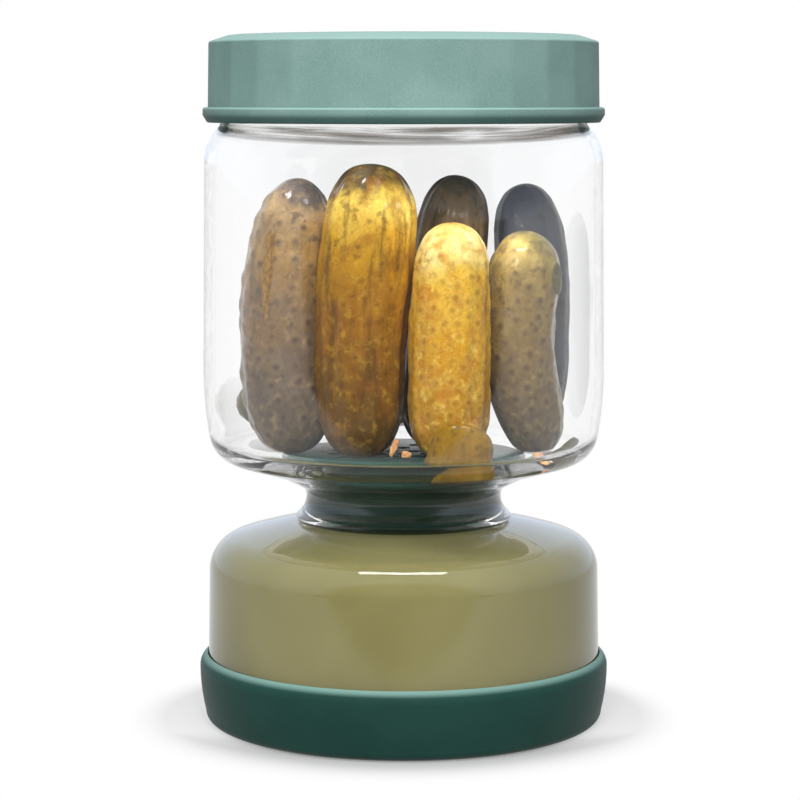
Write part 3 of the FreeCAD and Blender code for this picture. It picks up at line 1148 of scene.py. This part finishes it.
# --- lid --------------------------------------------------------------------------------
@dataclass
class Lid:
    """The screw lid: a facetted skirt, a shallow bevel on top and a bead below."""

    facets: int = 28
    phase: float = -7.07  # degrees
    bead_reach: float = 1.65 * MM
    draft: float = 0.3 * MM
    top_wall: float = 3.0 * MM
    skirt_wall: float = 2.67 * MM
    bevel_width: float = 5.3 * MM
    bevel_height: float = 1.7 * MM
    bevel_round: float = 0.8 * MM
    bevel_end: float = 0.4 * MM  # runs flat between the bevel and the top
    bead_height: float = 2.1 * MM
    bead_round: float = 0.7 * MM
    bead_foot_height: float = 2.0 * MM
    bead_foot_in: float = 1.1 * MM
    bead_foot_edge: Point = mm(0.3, 0.2)  # across and up
    skirt_foot: Point = mm(0.25, 0.05)  # step from the bead's top to the skirt
    skirt_start: Point = mm(0.02, 0.25)  # heights of that step's ends over the bead
    ceiling_edge: float = 0.5 * MM
    facet_margin: float = 0.1 * MM
    facet_fade: float = 0.9  # share of the bevel over which the facets fade in
    facet_round: float = 0.16  # share of a facet that its rounded corners take
    steps: int = 16  # points on each facet
    low: Vector = field(init=False)
    high: Vector = field(init=False)

    def __post_init__(self) -> None:
        """Reads the lid's box from the frame."""
        self.low, self.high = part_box("lid")

    @property
    def radius(self) -> float:
        """Radius over the facets' edges at the top."""
        return (self.high.x - self.low.x) / 2 - self.bead_reach

    def facetted(self, r: float, z: float, angle: float) -> float:
        """Gives the radius of the facetted skirt where a round one has radius r.

        Args:
            r: Radius over the facets' edges, or of a round ring of the lid.
            z: Height.
            angle: Angle about the axis.

        Returns:
            The radius at that angle.
        """
        inner = self.radius - self.bevel_width - self.facet_margin
        outer = self.radius + self.draft + self.facet_margin
        if not inner < r < outer or z < self.low.z + self.bead_foot_height + self.bead_height:
            return r
        step = 2 * math.pi / self.facets
        turn = (angle - math.radians(self.phase - 90.0)) % step - step / 2
        corner = step / 2 * (1 - self.facet_round)
        flat = math.cos(step / 2)
        reach = min(abs(turn), corner)
        radius = r * flat / math.cos(reach)
        if abs(turn) > corner:
            past = (abs(turn) - corner) / (step / 2 - corner)
            slope = r * flat * math.tan(corner) / math.cos(corner) * (step / 2 - corner)
            radius += slope * (past - past * past / 2)
        share = min(1.0, (r - inner) / (self.bevel_width * self.facet_fade))
        return r + (radius - r) * share

    def shell(self) -> bpy.types.Object:
        """Makes the lid.

        Returns:
            Its mesh object.
        """
        bevel = math.degrees(math.atan2(self.bevel_height, self.bevel_width))
        bead_r = self.radius + self.bead_reach
        foot_r = bead_r - self.bead_foot_in
        foot_z = self.low.z
        bead_top_z = foot_z + self.bead_foot_height + self.bead_height
        inner_r = self.radius - self.skirt_wall
        ceiling_z = self.high.z - self.top_wall
        under = [(0.0, ceiling_z), (inner_r - self.ceiling_edge, ceiling_z),
                 (inner_r, ceiling_z - self.ceiling_edge), (inner_r, foot_z)]
        across, up = self.bead_foot_edge
        outer = [(foot_r - across, foot_z), (foot_r, foot_z + up)]
        side = Outline(bead_r, foot_z + self.bead_foot_height, 90)
        side.line(self.bead_height - self.bead_round)
        side.arc(self.bead_round, 90, step=15)
        side.line_to_r(self.radius + self.draft + self.skirt_foot[0])
        tip = self.bevel_round * math.tan(math.radians(90 - bevel) / 2)
        top = Outline(self.radius, self.high.z - self.bevel_height - tip, 90)
        top.arc(self.bevel_round, 90 - bevel, step=8)
        top.line(math.hypot(self.bevel_width, self.bevel_height) - tip - self.bevel_end)
        skirt = [(self.radius + self.draft + self.skirt_foot[1], bead_top_z + self.skirt_start[0]),
                 (self.radius + self.draft, bead_top_z + self.skirt_start[1])]
        crown = [(self.radius - self.bevel_width - self.bevel_end, self.high.z),
                 (0.0, self.high.z)]
        ring = under + outer + side.points + skirt + top.points + crown
        return revolve("screw_lid", ring, self.facets * self.steps, swell=self.facetted, sharp=50)

    def build(self, plastic: bpy.types.Material) -> None:
        """Makes and dresses the lid.

        Args:
            plastic: Finish of the lid.
        """
        lid = self.shell()
        dress(lid, plastic)
        settle(lid, "lid_plastic", "lid")


# --- strainer ---------------------------------------------------------------------------
@dataclass
class Strainer:
    """The sleeve that fills the waist, under the holed strainer plate; its plastic is the plate's,
    painted darker for the shade in the waist.
    """

    bore_r: float = 24.3 * MM
    sink: float = 0.3 * MM  # how far it reaches into the wall
    wall: float = 1.6 * MM
    edge: float = 0.4 * MM
    foot_gap: float = 0.3 * MM
    plate_gap: float = 3.4 * MM

    def sleeve(self) -> bpy.types.Object:
        """Makes the sleeve, which lines the waist's bore.

        Returns:
            Its mesh object.
        """
        low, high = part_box("strainer")
        outer = self.bore_r + self.sink
        inner = self.bore_r - self.wall
        foot_z = low.z + self.foot_gap
        top_z = high.z - self.plate_gap
        ring = [(inner, foot_z), (outer - self.edge, foot_z), (outer, foot_z + self.edge),
                (outer, top_z - self.edge), (outer - self.edge, top_z), (inner, top_z)]
        return revolve("waist_sleeve", ring, closed=True)

    def build(self, plastic: bpy.types.Material) -> None:
        """Makes and dresses the sleeve.

        Args:
            plastic: Finish of the sleeve.
        """
        sleeve = self.sleeve()
        dress(sleeve, plastic)
        settle(sleeve, "strainer_plastic")


# --- gherkins ---------------------------------------------------------------------------
@dataclass
class Gherkin:
    """A gherkin that stands on the strainer, or lies across the back."""

    node: str
    skin: Skin
    seed: int
    foot: Point
    head: Point
    low: float
    high: float
    girth: float
    bow: Point
    blunt_head: float
    blunt_foot: float
    taper: float = 0.0  # how much wider the head is than the middle
    depth: float = 1.0  # share of the girth that it measures front to back
    wart_gap: float = 4.2 * MM
    wart_height: float = 0.35 * MM
    wart_size: float = 1.3 * MM
    wart_strength: Point = (0.45, 1.0)
    wart_reach: Point = (0.05, 0.95)  # shares of the length between which warts grow
    wart_tries: int = 14  # tries for each wart that has room
    dot_share: float = 0.55  # size and depth of the dot in a wart
    ridges: float = 0.12 * MM
    ridge_count: int = 10
    ridge_bend: float = 2.0
    ridge_scale: float = 40.0
    lumps: float = 0.5 * MM
    lump_scale: float = 70.0
    small_lumps: float = 0.5  # height beside the large ones
    small_scale: float = 160.0
    end_fade: float = 0.5  # share of the girth below which the relief fades
    streak_share: float = 0.16  # how much the streaks are drawn out along it
    rows: int = 200
    columns: int = 160
    share: np.ndarray = field(init=False, repr=False)  # of the length, at each ring
    middles: np.ndarray = field(init=False, repr=False)
    across: np.ndarray = field(init=False, repr=False)
    back: np.ndarray = field(init=False, repr=False)
    radius: np.ndarray = field(init=False, repr=False)
    ends: np.ndarray = field(init=False, repr=False)
    length: float = field(init=False)

    def spine(self, t: np.ndarray) -> tuple[np.ndarray, np.ndarray]:
        """Gives the middle line.

        Args:
            t: Shares of the length, from the foot.

        Returns:
            The points and the directions there.
        """
        foot = np.array([*self.foot, self.low])
        head = np.array([*self.head, self.high])
        bow = np.array([*self.bow, 0.0])
        t = t[:, None]
        points = foot * (1 - t) + head * t + bow * 4 * t * (1 - t)
        heading = head - foot + bow * (4 - 8 * t)
        return points, heading / np.linalg.norm(heading, axis=1, keepdims=True)

    def __post_init__(self) -> None:
        """Works out the smooth body's rings: their places, directions and radii."""
        self.share = (1 - np.cos(np.pi * np.arange(1, self.rows) / self.rows)) / 2
        self.middles, heading = self.spine(self.share)
        self.across = np.cross(np.array([0.0, 1.0, 0.0]), heading)
        self.across /= np.linalg.norm(self.across, axis=1, keepdims=True)
        self.back = np.cross(heading, self.across) * self.depth
        blunt = np.where(self.share > 0.5, self.blunt_head, self.blunt_foot)
        self.radius = self.girth * np.sqrt(1 - np.abs(2 * self.share - 1) ** blunt)
        self.radius *= 1 + self.taper * (2 * self.share - 1)
        self.ends, _ = self.spine(np.array([0.0, 1.0]))
        self.length = float(np.linalg.norm(self.ends[1] - self.ends[0]))

    def outward(self, ring: int, turn: float) -> np.ndarray:
        """Returns the way out of the body at a ring and an angle."""
        return self.across[ring] * math.cos(turn) + self.back[ring] * math.sin(turn)

    def smooth_point(self, ring: int, turn: float) -> Vector:
        """Returns the point of the smooth body at a ring and an angle."""
        return Vector(self.middles[ring] + self.outward(ring, turn) * self.radius[ring])

    def warts(self, rng: random.Random) -> list[Triple]:
        """Scatters warts over the skin.

        Args:
            rng: Source of chance.

        Returns:
            Share of the length, angle and strength of each wart.
        """
        kept: list[Triple] = []
        room = self.length * 2 * math.pi * self.girth / self.wart_gap ** 2
        for _ in range(int(self.wart_tries * room)):
            t, angle = rng.uniform(*self.wart_reach), rng.uniform(0, 2 * math.pi)
            for other_t, other_angle, _ in kept:
                turn = (angle - other_angle + math.pi) % (2 * math.pi) - math.pi
                if math.hypot((t - other_t) * self.length, turn * self.girth) < self.wart_gap:
                    break
            else:
                kept.append((t, angle, rng.uniform(*self.wart_strength)))
        return kept

    def wart_map(self, rng: random.Random) -> tuple[kdtree.KDTree, list[float]]:
        """Sets the warts out on the smooth body.

        Args:
            rng: Source of chance.

        Returns:
            A tree of their places, and their strengths.
        """
        warts = self.warts(rng)
        tree = kdtree.KDTree(len(warts))
        for index, (t, turn, _) in enumerate(warts):
            ring = int(np.searchsorted(self.share, t).clip(0, len(self.share) - 1))
            tree.insert(self.smooth_point(ring, turn), index)
        tree.balance()
        return tree, [strength for _, _, strength in warts]

    def relief(self, place: Vector, turn: float, shift: Vector) -> float:
        """Gives the height of the lumps and ridges at a point.

        Args:
            place: The point.
            turn: Its angle about the body.
            shift: Where in the noise this gherkin lies.

        Returns:
            The height.
        """
        lump = (noise.noise(place * self.lump_scale + shift)
                + self.small_lumps * noise.noise(place * self.small_scale + shift))
        bend = self.ridge_bend * noise.noise(place * self.ridge_scale + shift)
        return self.lumps * lump + self.ridges * math.cos(turn * self.ridge_count + bend)

    def build(self, skins: dict[Skin, bpy.types.Material]) -> bpy.types.Object:
        """Makes and dresses the gherkin.

        Args:
            skins: Material of each skin.

        Returns:
            The piece.
        """
        rng = random.Random(self.seed)
        shift = Vector((rng.uniform(0, 9), rng.uniform(0, 9), rng.uniform(0, 9)))
        tree, strengths = self.wart_map(rng)
        vertices: list[Vector] = [Vector(self.ends[0])]
        marks: dict[str, list[float]] = {"dot": [0.0], "halo": [0.0], "along": [0.0]}
        streaks = [(0.0, 0.0, 0.0)]
        for ring, t in enumerate(self.share):
            radius = self.radius[ring]
            fade = min(1.0, radius / (self.end_fade * self.girth))
            for turn in 2 * np.pi * np.arange(self.columns) / self.columns:
                place = self.smooth_point(ring, turn)
                _, index, gap = tree.find(place)
                strength = strengths[index]
                wart = strength * math.exp(-(gap / self.wart_size) ** 2)
                dot = strength * math.exp(-(gap / (self.dot_share * self.wart_size)) ** 2)
                swell = fade * (self.relief(place, turn, shift)
                                + self.wart_height * (wart - self.dot_share * dot ** 2))
                vertices.append(place + Vector(self.outward(ring, turn)) * swell)
                for name, value in (("dot", dot * fade), ("halo", max(0.0, wart - dot) * fade),
                                    ("along", float(t))):
                    marks[name].append(value)
                streaks.append((radius * math.cos(turn), radius * math.sin(turn),
                                float(t) * self.length * self.streak_share))
        vertices.append(Vector(self.ends[1]))
        for name, value in (("dot", 0.0), ("halo", 0.0), ("along", 1.0)):
            marks[name].append(value)
        streaks.append((0.0, 0.0, self.length * self.streak_share))

        faces = closed_faces(len(self.share), self.columns)
        piece = mesh_object(f"pickled_{self.node}", vertices, faces, sharp=180)
        for name, values in marks.items():
            layer = piece.data.attributes.new(name, "FLOAT", "POINT")
            layer.data.foreach_set("value", values)
        layer = piece.data.attributes.new("streak", "FLOAT_VECTOR", "POINT")
        layer.data.foreach_set("vector", [x for v in streaks for x in v])
        dress(piece, skins[self.skin])
        return piece


@dataclass
class Bundle:
    """The gherkins in the upper chamber."""

    golden: tuple[Skin, ...] = (Skin.AMBER, Skin.YELLOW, Skin.STUB)
    bed_z: float = field(init=False)

    def __post_init__(self) -> None:
        """Reads the strainer's top from the frame."""
        self.bed_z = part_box("strainer")[1].z

    def gherkins(self) -> Iterable[Gherkin]:
        """Lists the gherkins.

        Returns:
            Each gherkin in turn.
        """
        b = self.bed_z
        yield Gherkin("gherkin_1", Skin.TAN, 11, foot=mm(-29.0, -2.5), head=mm(-27.0, -2.5),
                      low=b + 0.3 * MM, high=b + 75.4 * MM, girth=12.0 * MM, bow=mm(-4.4, 1.0),
                      blunt_head=3.8, blunt_foot=5.0, taper=-0.05, wart_gap=4.3 * MM,
                      wart_height=0.7 * MM, wart_size=1.8 * MM)
        yield Gherkin("gherkin_2", Skin.AMBER, 22, foot=mm(-11.4, -13.0), head=mm(-6.9, -12.0),
                      low=b + 0.2 * MM, high=b + 79.6 * MM, girth=12.3 * MM, bow=mm(-1.8, 0.0),
                      blunt_head=5.6, blunt_foot=5.2, taper=0.06, wart_gap=6 * MM,
                      wart_height=0.15 * MM, lumps=0.6 * MM, ridges=0.3 * MM)
        yield Gherkin("gherkin_3", Skin.YELLOW, 33, foot=mm(12.2, -18.5), head=mm(13.2, -18.5),
                      low=b + 0.3 * MM, high=b + 64.4 * MM, girth=10.6 * MM, bow=mm(-0.6, 0.0),
                      blunt_head=6.4, blunt_foot=5.0, taper=-0.08, wart_gap=3.3 * MM,
                      wart_height=0.32 * MM, wart_size=1.6 * MM, ridges=0.2 * MM)
        yield Gherkin("gherkin_4", Skin.OLIVE, 44, foot=mm(39.0, -5.5), head=mm(35.8, -4.5),
                      low=b + 0.8 * MM, high=b + 61.0 * MM, girth=9.9 * MM, bow=mm(-6.6, 0.0),
                      blunt_head=5.4, blunt_foot=4.6, taper=0.06, wart_height=0.5 * MM,
                      wart_size=1.8 * MM)
        yield Gherkin("gherkin_5", Skin.UMBER, 55, foot=mm(7.0, 11.5), head=mm(15.0, 11.0),
                      low=b + 0.3 * MM, high=b + 76.0 * MM, girth=10.2 * MM, bow=mm(0.0, 1.5),
                      blunt_head=5.6, blunt_foot=4.0, wart_gap=6 * MM, wart_height=0.15 * MM,
                      ridges=0.3 * MM)
        yield Gherkin("gherkin_6", Skin.SLATE, 66, foot=mm(34.5, 18.0), head=mm(33.0, 18.0),
                      low=b + 1.3 * MM, high=b + 73.4 * MM, girth=10.3 * MM, bow=mm(3.0, 0.5),
                      blunt_head=5.2, blunt_foot=4.0, wart_gap=5 * MM, wart_height=0.25 * MM)
        yield Gherkin("gherkin_7", Skin.PALE, 77, foot=mm(14.0, 36.0), head=mm(-46.0, 14.0),
                      low=b + 10.7 * MM, high=b + 11.9 * MM, girth=8.4 * MM, bow=mm(-4.0, 7.8),
                      blunt_head=4.0, blunt_foot=3.4, wart_gap=4.5 * MM)
        yield Gherkin("gherkin_stub", Skin.STUB, 88, foot=mm(13.6, -37.5), head=mm(16.2, -37.0),
                      low=b - 1.9 * MM, high=b + 12.6 * MM, girth=8.2 * MM, bow=(0.0, 0.0),
                      blunt_head=3.4, blunt_foot=9.0, taper=-0.12, depth=0.5,
                      wart_gap=3.6 * MM, wart_height=0.2 * MM, lumps=0.4 * MM, rows=90)

    def build(self, skins: dict[Skin, bpy.types.Material]) -> None:
        """Makes and dresses every gherkin.

        Args:
            skins: Material of each skin.
        """
        for gherkin in self.gherkins():
            slot = "gherkin_gold" if gherkin.skin in self.golden else "gherkin_olive"
            settle(gherkin.build(skins), slot, gherkin.node)


@dataclass
class Crumb:
    """A small wet piece: a seed, a scrap of peel, or a sheet that stands for a painted reflection.
    """

    name: str
    centre: Triple
    half: Triple
    turn: Triple  # degrees about x, y and z
    square: float = 1.0  # 1 is round, less is boxy
    seed: int = 1
    rough: float = 0.12
    rough_scale: float = 1.7
    rows: int = 24
    columns: int = 36

    def build(self, material: bpy.types.Material) -> None:
        """Makes and dresses the crumb.

        Args:
            material: Its finish.
        """
        shift = Vector((self.seed * 3.7, 1.3, 0.4))  # its own stretch of the noise
        turn = Euler([math.radians(a) for a in self.turn]).to_matrix()

        def bulge(value: float) -> float:
            """Returns a sine or cosine drawn towards a box."""
            return math.copysign(abs(value) ** self.square, value)

        def point(up: float, way: float) -> Vector:
            """Finds a point of the surface.

            Args:
                up: Angle above its middle plane.
                way: Angle round it.

            Returns:
                The surface point at two angles.
            """
            flat = bulge(math.cos(up))
            place = Vector((flat * bulge(math.cos(way)), flat * bulge(math.sin(way)),
                            bulge(math.sin(up))))
            place *= 1 + self.rough * noise.noise(place * self.rough_scale + shift)
            sized = Vector(a * b for a, b in zip(place, self.half))
            return Vector(self.centre) + turn @ sized

        vertices = [point(-math.pi / 2, 0.0)]
        for i in range(1, self.rows):
            up = -math.pi / 2 + math.pi * i / self.rows
            vertices += [point(up, 2 * math.pi * k / self.columns) for k in range(self.columns)]
        vertices.append(point(math.pi / 2, 0.0))
        faces = closed_faces(self.rows - 1, self.columns)
        piece = mesh_object(self.name, vertices, faces, sharp=70)
        dress(piece, material)
        settle(piece, "gherkin_gold")


@dataclass
class Crumbs:
    """The seeds and scraps among the gherkins, and a painted reflection: a dark sheet with a peach
    tip for gherkin 4 mirrored in the glass foot.
    """

    bed_z: float = field(init=False)

    def __post_init__(self) -> None:
        """Reads the strainer's top from the frame."""
        self.bed_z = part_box("strainer")[1].z

    def over_bed(self, x: float, y: float, z: float) -> Triple:
        """Returns a place in metres from millimetres, with z over the strainer's top."""
        return x * MM, y * MM, self.bed_z + z * MM

    def build(self) -> None:
        """Makes and dresses every crumb."""
        at = self.over_bed
        peach = SoftFlesh("crumb_peach", srgb(244, 186, 130), srgb(222, 150, 96)).build()
        leaf = SoftFlesh("crumb_dark_olive", srgb(88, 78, 40), srgb(60, 56, 30)).build()
        mustard = SoftFlesh("crumb_mustard", srgb(160, 116, 26), srgb(120, 84, 18)).build()
        Crumb("seed_middle", at(-2.6, -22.5, 4.6), mm(0.8, 0.6, 2.3), (0, 18, 0),
              seed=2, rough=0.5).build(peach)
        Crumb("seed_gap", at(0.6, -22.5, 2.6), mm(1.3, 0.8, 1.1), (0, 20, 10),
              seed=3, rough=0.4).build(peach)
        Crumb("seed_right", at(35.6, -23.5, 1.9), mm(1.5, 1.1, 0.9), (0, -8, 12),
              seed=4).build(peach)
        # Painted reflection: a dark sheet with a peach tip for gherkin 4 mirrored in the curved
        # glass foot.
        Crumb("reflection_sheet", at(42.0, -20.5, 2.6), mm(6.2, 0.6, 2.3), (12, -34, 40), 0.7,
              seed=5).build(leaf)
        Crumb("reflection_tip", at(36.0, -24.6, -0.2), mm(1.7, 0.6, 0.6), (10, -24, 40),
              seed=6).build(peach)
        Crumb("peel_scrap", at(-36.3, -12.7, 50.0), mm(1.0, 0.6, 9.8), (0, 5, -22), 0.6,
              seed=7, rough=1.0).build(mustard)
        Crumb("peel_spot", at(41.0, -12.7, 49.0), mm(1.6, 0.6, 4.2), (0, -4, 34),
              seed=8).build(leaf)


# --- studio -----------------------------------------------------------------------------
def add_lamp(name: str, size: Point, radiance: float, shape: str = "RECTANGLE") -> bpy.types.Object:
    """Adds an area lamp that isn't seen through the glass.

    Args:
        name: Its name.
        size: Its width and height.
        radiance: How bright its face is.
        shape: RECTANGLE or ELLIPSE.

    Returns:
        The lamp.
    """
    data = bpy.data.lights.new(name, "AREA")
    data.shape = shape
    data.size, data.size_y = size
    area = size[0] * size[1] * (math.pi / 4 if shape == "ELLIPSE" else 1.0)
    data.energy = radiance * math.pi * area
    lamp = bpy.data.objects.new(name, data)
    lamp.visible_transmission = False
    bpy.context.scene.collection.objects.link(lamp)
    return lamp


@dataclass
class Softbox:
    """A soft lamp, aimed at the jar."""

    name: str
    azimuth: float  # degrees to the right of the front
    elevation: float
    size: Point
    radiance: float
    distance: float = 1.1
    shape: str = "ELLIPSE"
    mirrored: bool = True  # False for a lamp that polished faces don't mirror

    def build(self, aim: Vector) -> None:
        """Adds the lamp.

        Args:
            aim: Point that it faces.
        """
        away = Vector(direction(self.azimuth, self.elevation))
        lamp = add_lamp(self.name, self.size, self.radiance, self.shape)
        lamp.location = aim + away * self.distance
        lamp.rotation_euler = away.to_track_quat("Z", "Y").to_euler()
        lamp.visible_glossy = self.mirrored


@dataclass
class Glint:
    """A tiny lamp close over a wet surface, unseen itself."""

    name: str
    place: Vector
    radiance: float = 60.0
    size: Point = mm(8.0, 3.2)
    lean: float = 20.0  # degrees that it shines back from straight down

    def build(self) -> None:
        """Adds the lamp."""
        lamp = add_lamp(self.name, self.size, self.radiance)
        lamp.location = self.place
        lamp.rotation_euler = (math.radians(self.lean), 0.0, 0.0)
        lamp.visible_camera = False


@dataclass
class Studio:
    """The camera, the white room, the floor and the lamps."""

    camera_place: Triple = (-0.001, -0.736, 0.1706)
    camera_pitch: float = 6.4  # degrees down
    camera_lens: float = 121.5
    camera_sensor: float = 36.0
    camera_reach: float = 60.0

    key_light: float = 2.2
    key_focus: float = 8.5
    key_azimuth: float = -5.0
    key_elevation: float = 34.0
    fill: float = 0.04

    through_glass: float = 1.0  # the room behind, through the glass
    front_grey: float = 0.3  # the room in front, through the glass from behind
    front_dark: float = 0.05  # the room in front, in a mirroring face
    table_white: float = 0.75  # the table in a mirroring face
    mirror_tint: Colour = (0.86, 0.95, 1.10)
    window_turn: Point = (-0.82, -0.58)  # Y of the way to the dark front and the white sides
    table_turn: Point = (-0.66, -0.42)
    table_line: Point = (-0.02, 0.05)  # Z of the way to the table and the room over it
    ceiling_turn: Point = (0.0, 0.3)
    ceiling_line: Point = (0.45, 0.7)
    glass_turn: Point = (-0.3, 0.4)

    floor_size: float = 30.0
    floor_albedo: float = 0.25
    floor_tone: float = 0.57
    floor_glow: float = 0.10
    # painted contact shadow under the cup, in the floor's colour
    contact: Point = mm(55, 73)  # radii between which the dark under the cup fades
    contact_tone: float = 0.66
    beside: Point = mm(-50, -18)  # Y between which the shadow turns to that beside the jar
    beside_plain: float = 0.5
    shadow: Point = mm(54, 78)  # radii between which the whole shadow fades to white
    near_slant: float = 0.55
    near: Point = (-0.20, -0.12)  # where a mirroring face sees the floor turn white
    far: Point = (0.05, 0.3)  # the same through the glass

    spots: tuple[float, ...] = (-11.0, -3.0, 6.0)  # degrees to the right of the front
    bulbs: tuple[float, ...] = (-62.0, -14.0, 38.0)
    glint_offsets: tuple[Triple, ...] = (
        mm(-3.0, -9.5, 10.0), mm(-3.0, -12.5, 10.0), mm(-1.0, -13.0, 11.0), mm(-3.5, -12.0, 10.0))

    def camera(self) -> None:
        """Adds the camera."""
        data = bpy.data.cameras.new("camera")
        data.lens = self.camera_lens
        data.sensor_width = self.camera_sensor
        data.clip_end = self.camera_reach
        eye = bpy.data.objects.new("camera", data)
        eye.location = self.camera_place
        eye.rotation_euler = (math.radians(90 - self.camera_pitch), 0.0, 0.0)
        bpy.context.scene.collection.objects.link(eye)
        bpy.context.scene.camera = eye

    def world(self) -> None:
        """Adds a room that is white behind the jar and lights it from in front."""
        world = bpy.data.worlds.new("room")
        bpy.context.scene.world = world
        world.use_nodes = True
        w = Nodes(world.node_tree)
        rays = w.node("ShaderNodeLightPath").outputs
        way = w.node("ShaderNodeTexCoord").outputs["Generated"]
        axes = w.axes(way)

        windows = w.ramp(axes["Y"], *self.window_turn, self.front_dark, 1.0)
        table = w.math("MULTIPLY", w.ramp(axes["Z"], *self.table_line, 1.0, 0.0),
                       w.ramp(axes["Y"], *self.table_turn, 0.0, self.table_white))
        ceiling = w.math("MULTIPLY", w.ramp(axes["Z"], *self.ceiling_line),
                         w.ramp(axes["Y"], *self.ceiling_turn))
        mirrored = w.math("MAXIMUM", windows, w.math("MAXIMUM", table, ceiling))

        front = w.node("ShaderNodeVectorMath", {"operation": "DOT_PRODUCT"}, Vector=way)
        front.inputs[1].default_value = direction(self.key_azimuth, self.key_elevation)
        lobe = w.math("POWER", w.ramp(front.outputs["Value"], 0.0, 1.0), self.key_focus)
        lit = w.ramp(lobe, 0.0, 1.0, self.fill, self.fill + self.key_light, "LINEAR")
        through = w.ramp(axes["Y"], *self.glass_turn, self.front_grey, self.through_glass)

        strength: Any = lit
        for ray, seen in (("Is Camera Ray", 1.0), ("Is Glossy Ray", mirrored),
                          ("Is Transmission Ray", through)):
            strength = w.choose(rays[ray], strength, seen)
        only_mirrored = w.choose(rays["Is Transmission Ray"], rays["Is Glossy Ray"], 0.0)
        light = w.node("ShaderNodeBackground", Strength=strength,
                       Color=w.mix(only_mirrored, WHITE, self.mirror_tint))
        out = w.node("ShaderNodeOutputWorld")
        w.join(light.outputs[0], out.inputs["Surface"])

    def floor(self) -> None:
        """Adds a white floor that keeps the jar's shadow, with a painted contact shadow under the
        cup.
        """
        size = self.floor_size
        corners = [(-size, -size, 0.0), (size, -size, 0.0), (size, size, 0.0), (-size, size, 0.0)]
        floor = mesh_object("floor", corners, [(0, 1, 2, 3)])
        s = Shader("floor_white")
        s.set(Base_Color=(self.floor_albedo,) * 3, Roughness=1.0, Specular_IOR_Level=0.0)
        axes = s.axes(s.place())
        radius = s.node("ShaderNodeVectorMath", {"operation": "LENGTH"},
                        Vector=s.place()).outputs["Value"]

        beside = s.ramp(axes["Y"], *self.beside)
        # Painted contact shadow: the floor's colour darkens near the cup.
        contact = s.ramp(radius, *self.contact, self.contact_tone, 1.0)
        tone = s.math("MULTIPLY", s.math("MAXIMUM", contact, beside), self.floor_tone)
        shaded = s.node("ShaderNodeAddShader")
        s.join(s.node("ShaderNodeBsdfDiffuse", Color=tone).outputs[0], shaded.inputs[0])
        s.join(s.glow(self.floor_glow), shaded.inputs[1])
        plain = s.math("MAXIMUM", s.ramp(radius, *self.shadow),
                       s.math("MULTIPLY", beside, self.beside_plain))
        seen = s.node("ShaderNodeMixShader", Fac=plain)
        s.join(shaded.outputs[0], seen.inputs[1])
        s.join(s.glow(1.0), seen.inputs[2])

        ahead = s.math("MULTIPLY_ADD", s.math("ABSOLUTE", axes["X"]), self.near_slant, axes["Y"])
        near = s.ramp(ahead, *self.near, self.front_dark, self.table_white)
        far = s.ramp(axes["Y"], *self.far, self.front_grey, 1.0)
        s.by_ray(seen.outputs[0], ("Is Diffuse Ray", s.principled.outputs[0]),
                 ("Is Glossy Ray", s.glow(near)),
                 ("Is Transmission Ray", s.glow(s.math("MAXIMUM", near, far))))
        dress(floor, s.material)
        floor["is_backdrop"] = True

    def lamps(self) -> None:
        """Adds a strip and bulbs above the jar and spots in front of it."""
        low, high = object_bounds()
        middle = (low + high) / 2
        Softbox("strip", azimuth=-3, elevation=79, size=(0.66, 0.18), radiance=14.0,
                shape="RECTANGLE").build(middle)
        for number, azimuth in enumerate(self.spots):
            Softbox(f"spot_{number}", azimuth, elevation=28, size=(0.07, 0.09), radiance=135.0,
                    mirrored=False).build(middle)
        for number, azimuth in enumerate(self.bulbs):
            Softbox(f"bulb_{number}", azimuth, elevation=78, size=(0.06, 0.06),
                    radiance=40.0).build(middle)

    def glints(self) -> None:
        """Adds the lamps close over the front gherkins' wet heads."""
        for number, offset in enumerate(self.glint_offsets, 1):
            low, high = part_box(f"gherkin_{number}")
            head = Vector(((low.x + high.x) / 2, (low.y + high.y) / 2, high.z))
            Glint(f"glint_{number}", head + Vector(offset)).build()

    def build(self) -> None:
        """Sets the whole studio up."""
        self.camera()
        self.world()
        self.floor()
        self.lamps()
        self.glints()
        light_paths = bpy.context.scene.cycles  # thick glass passes light on many times
        light_paths.max_bounces = 24
        light_paths.glossy_bounces = 16
        light_paths.transmission_bounces = 24
        light_paths.transparent_max_bounces = 24
        bpy.context.scene.view_settings.view_transform = "Standard"


def main() -> None:
    """Builds every piece of the jar and the studio round it."""
    logging.basicConfig(level=logging.INFO, format="%(name)s: %(message)s")
    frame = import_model()
    glass = ClearGlass("clear_glass").build()
    brine = CloudyBrine("cloudy_brine", srgb(133, 127, 84), srgb(125, 119, 76)).build()
    LowerChamber().build(glass, brine)
    # Painted lines on the neck glass for the dark threads under the lid.
    neck = Crescent(low=161.7 * MM, rise=0.9 * MM)
    UpperChamber().build(ClearGlass("neck_glass", crescent=neck).build())
    Lid().build(SatinPlastic("lid_satin", srgb(114, 143, 137), srgb(106, 136, 130)).build())
    cup = SoftSilicone("cup_silicone", srgb(27, 62, 55), srgb(23, 57, 50), srgb(110, 144, 136))
    dress(frame["nodes"]["base_cup"], cup.build())
    plate = MouldedPlastic("strainer_teal", srgb(44, 92, 84), srgb(34, 78, 70))
    dress(frame["nodes"]["strainer"], plate.build())
    # The sleeve's colour is the strainer plastic with painted shade for the dark waist.
    Strainer().build(MouldedPlastic("sleeve_shaded_green", srgb(8, 36, 25), srgb(6, 27, 19)).build())
    Bundle().build({skin: skin.value.build(f"skin_{skin.name.lower()}") for skin in Skin})
    Crumbs().build()
    Studio().build()
    LOG.info("built")


if __name__ == "__main__":
    main()
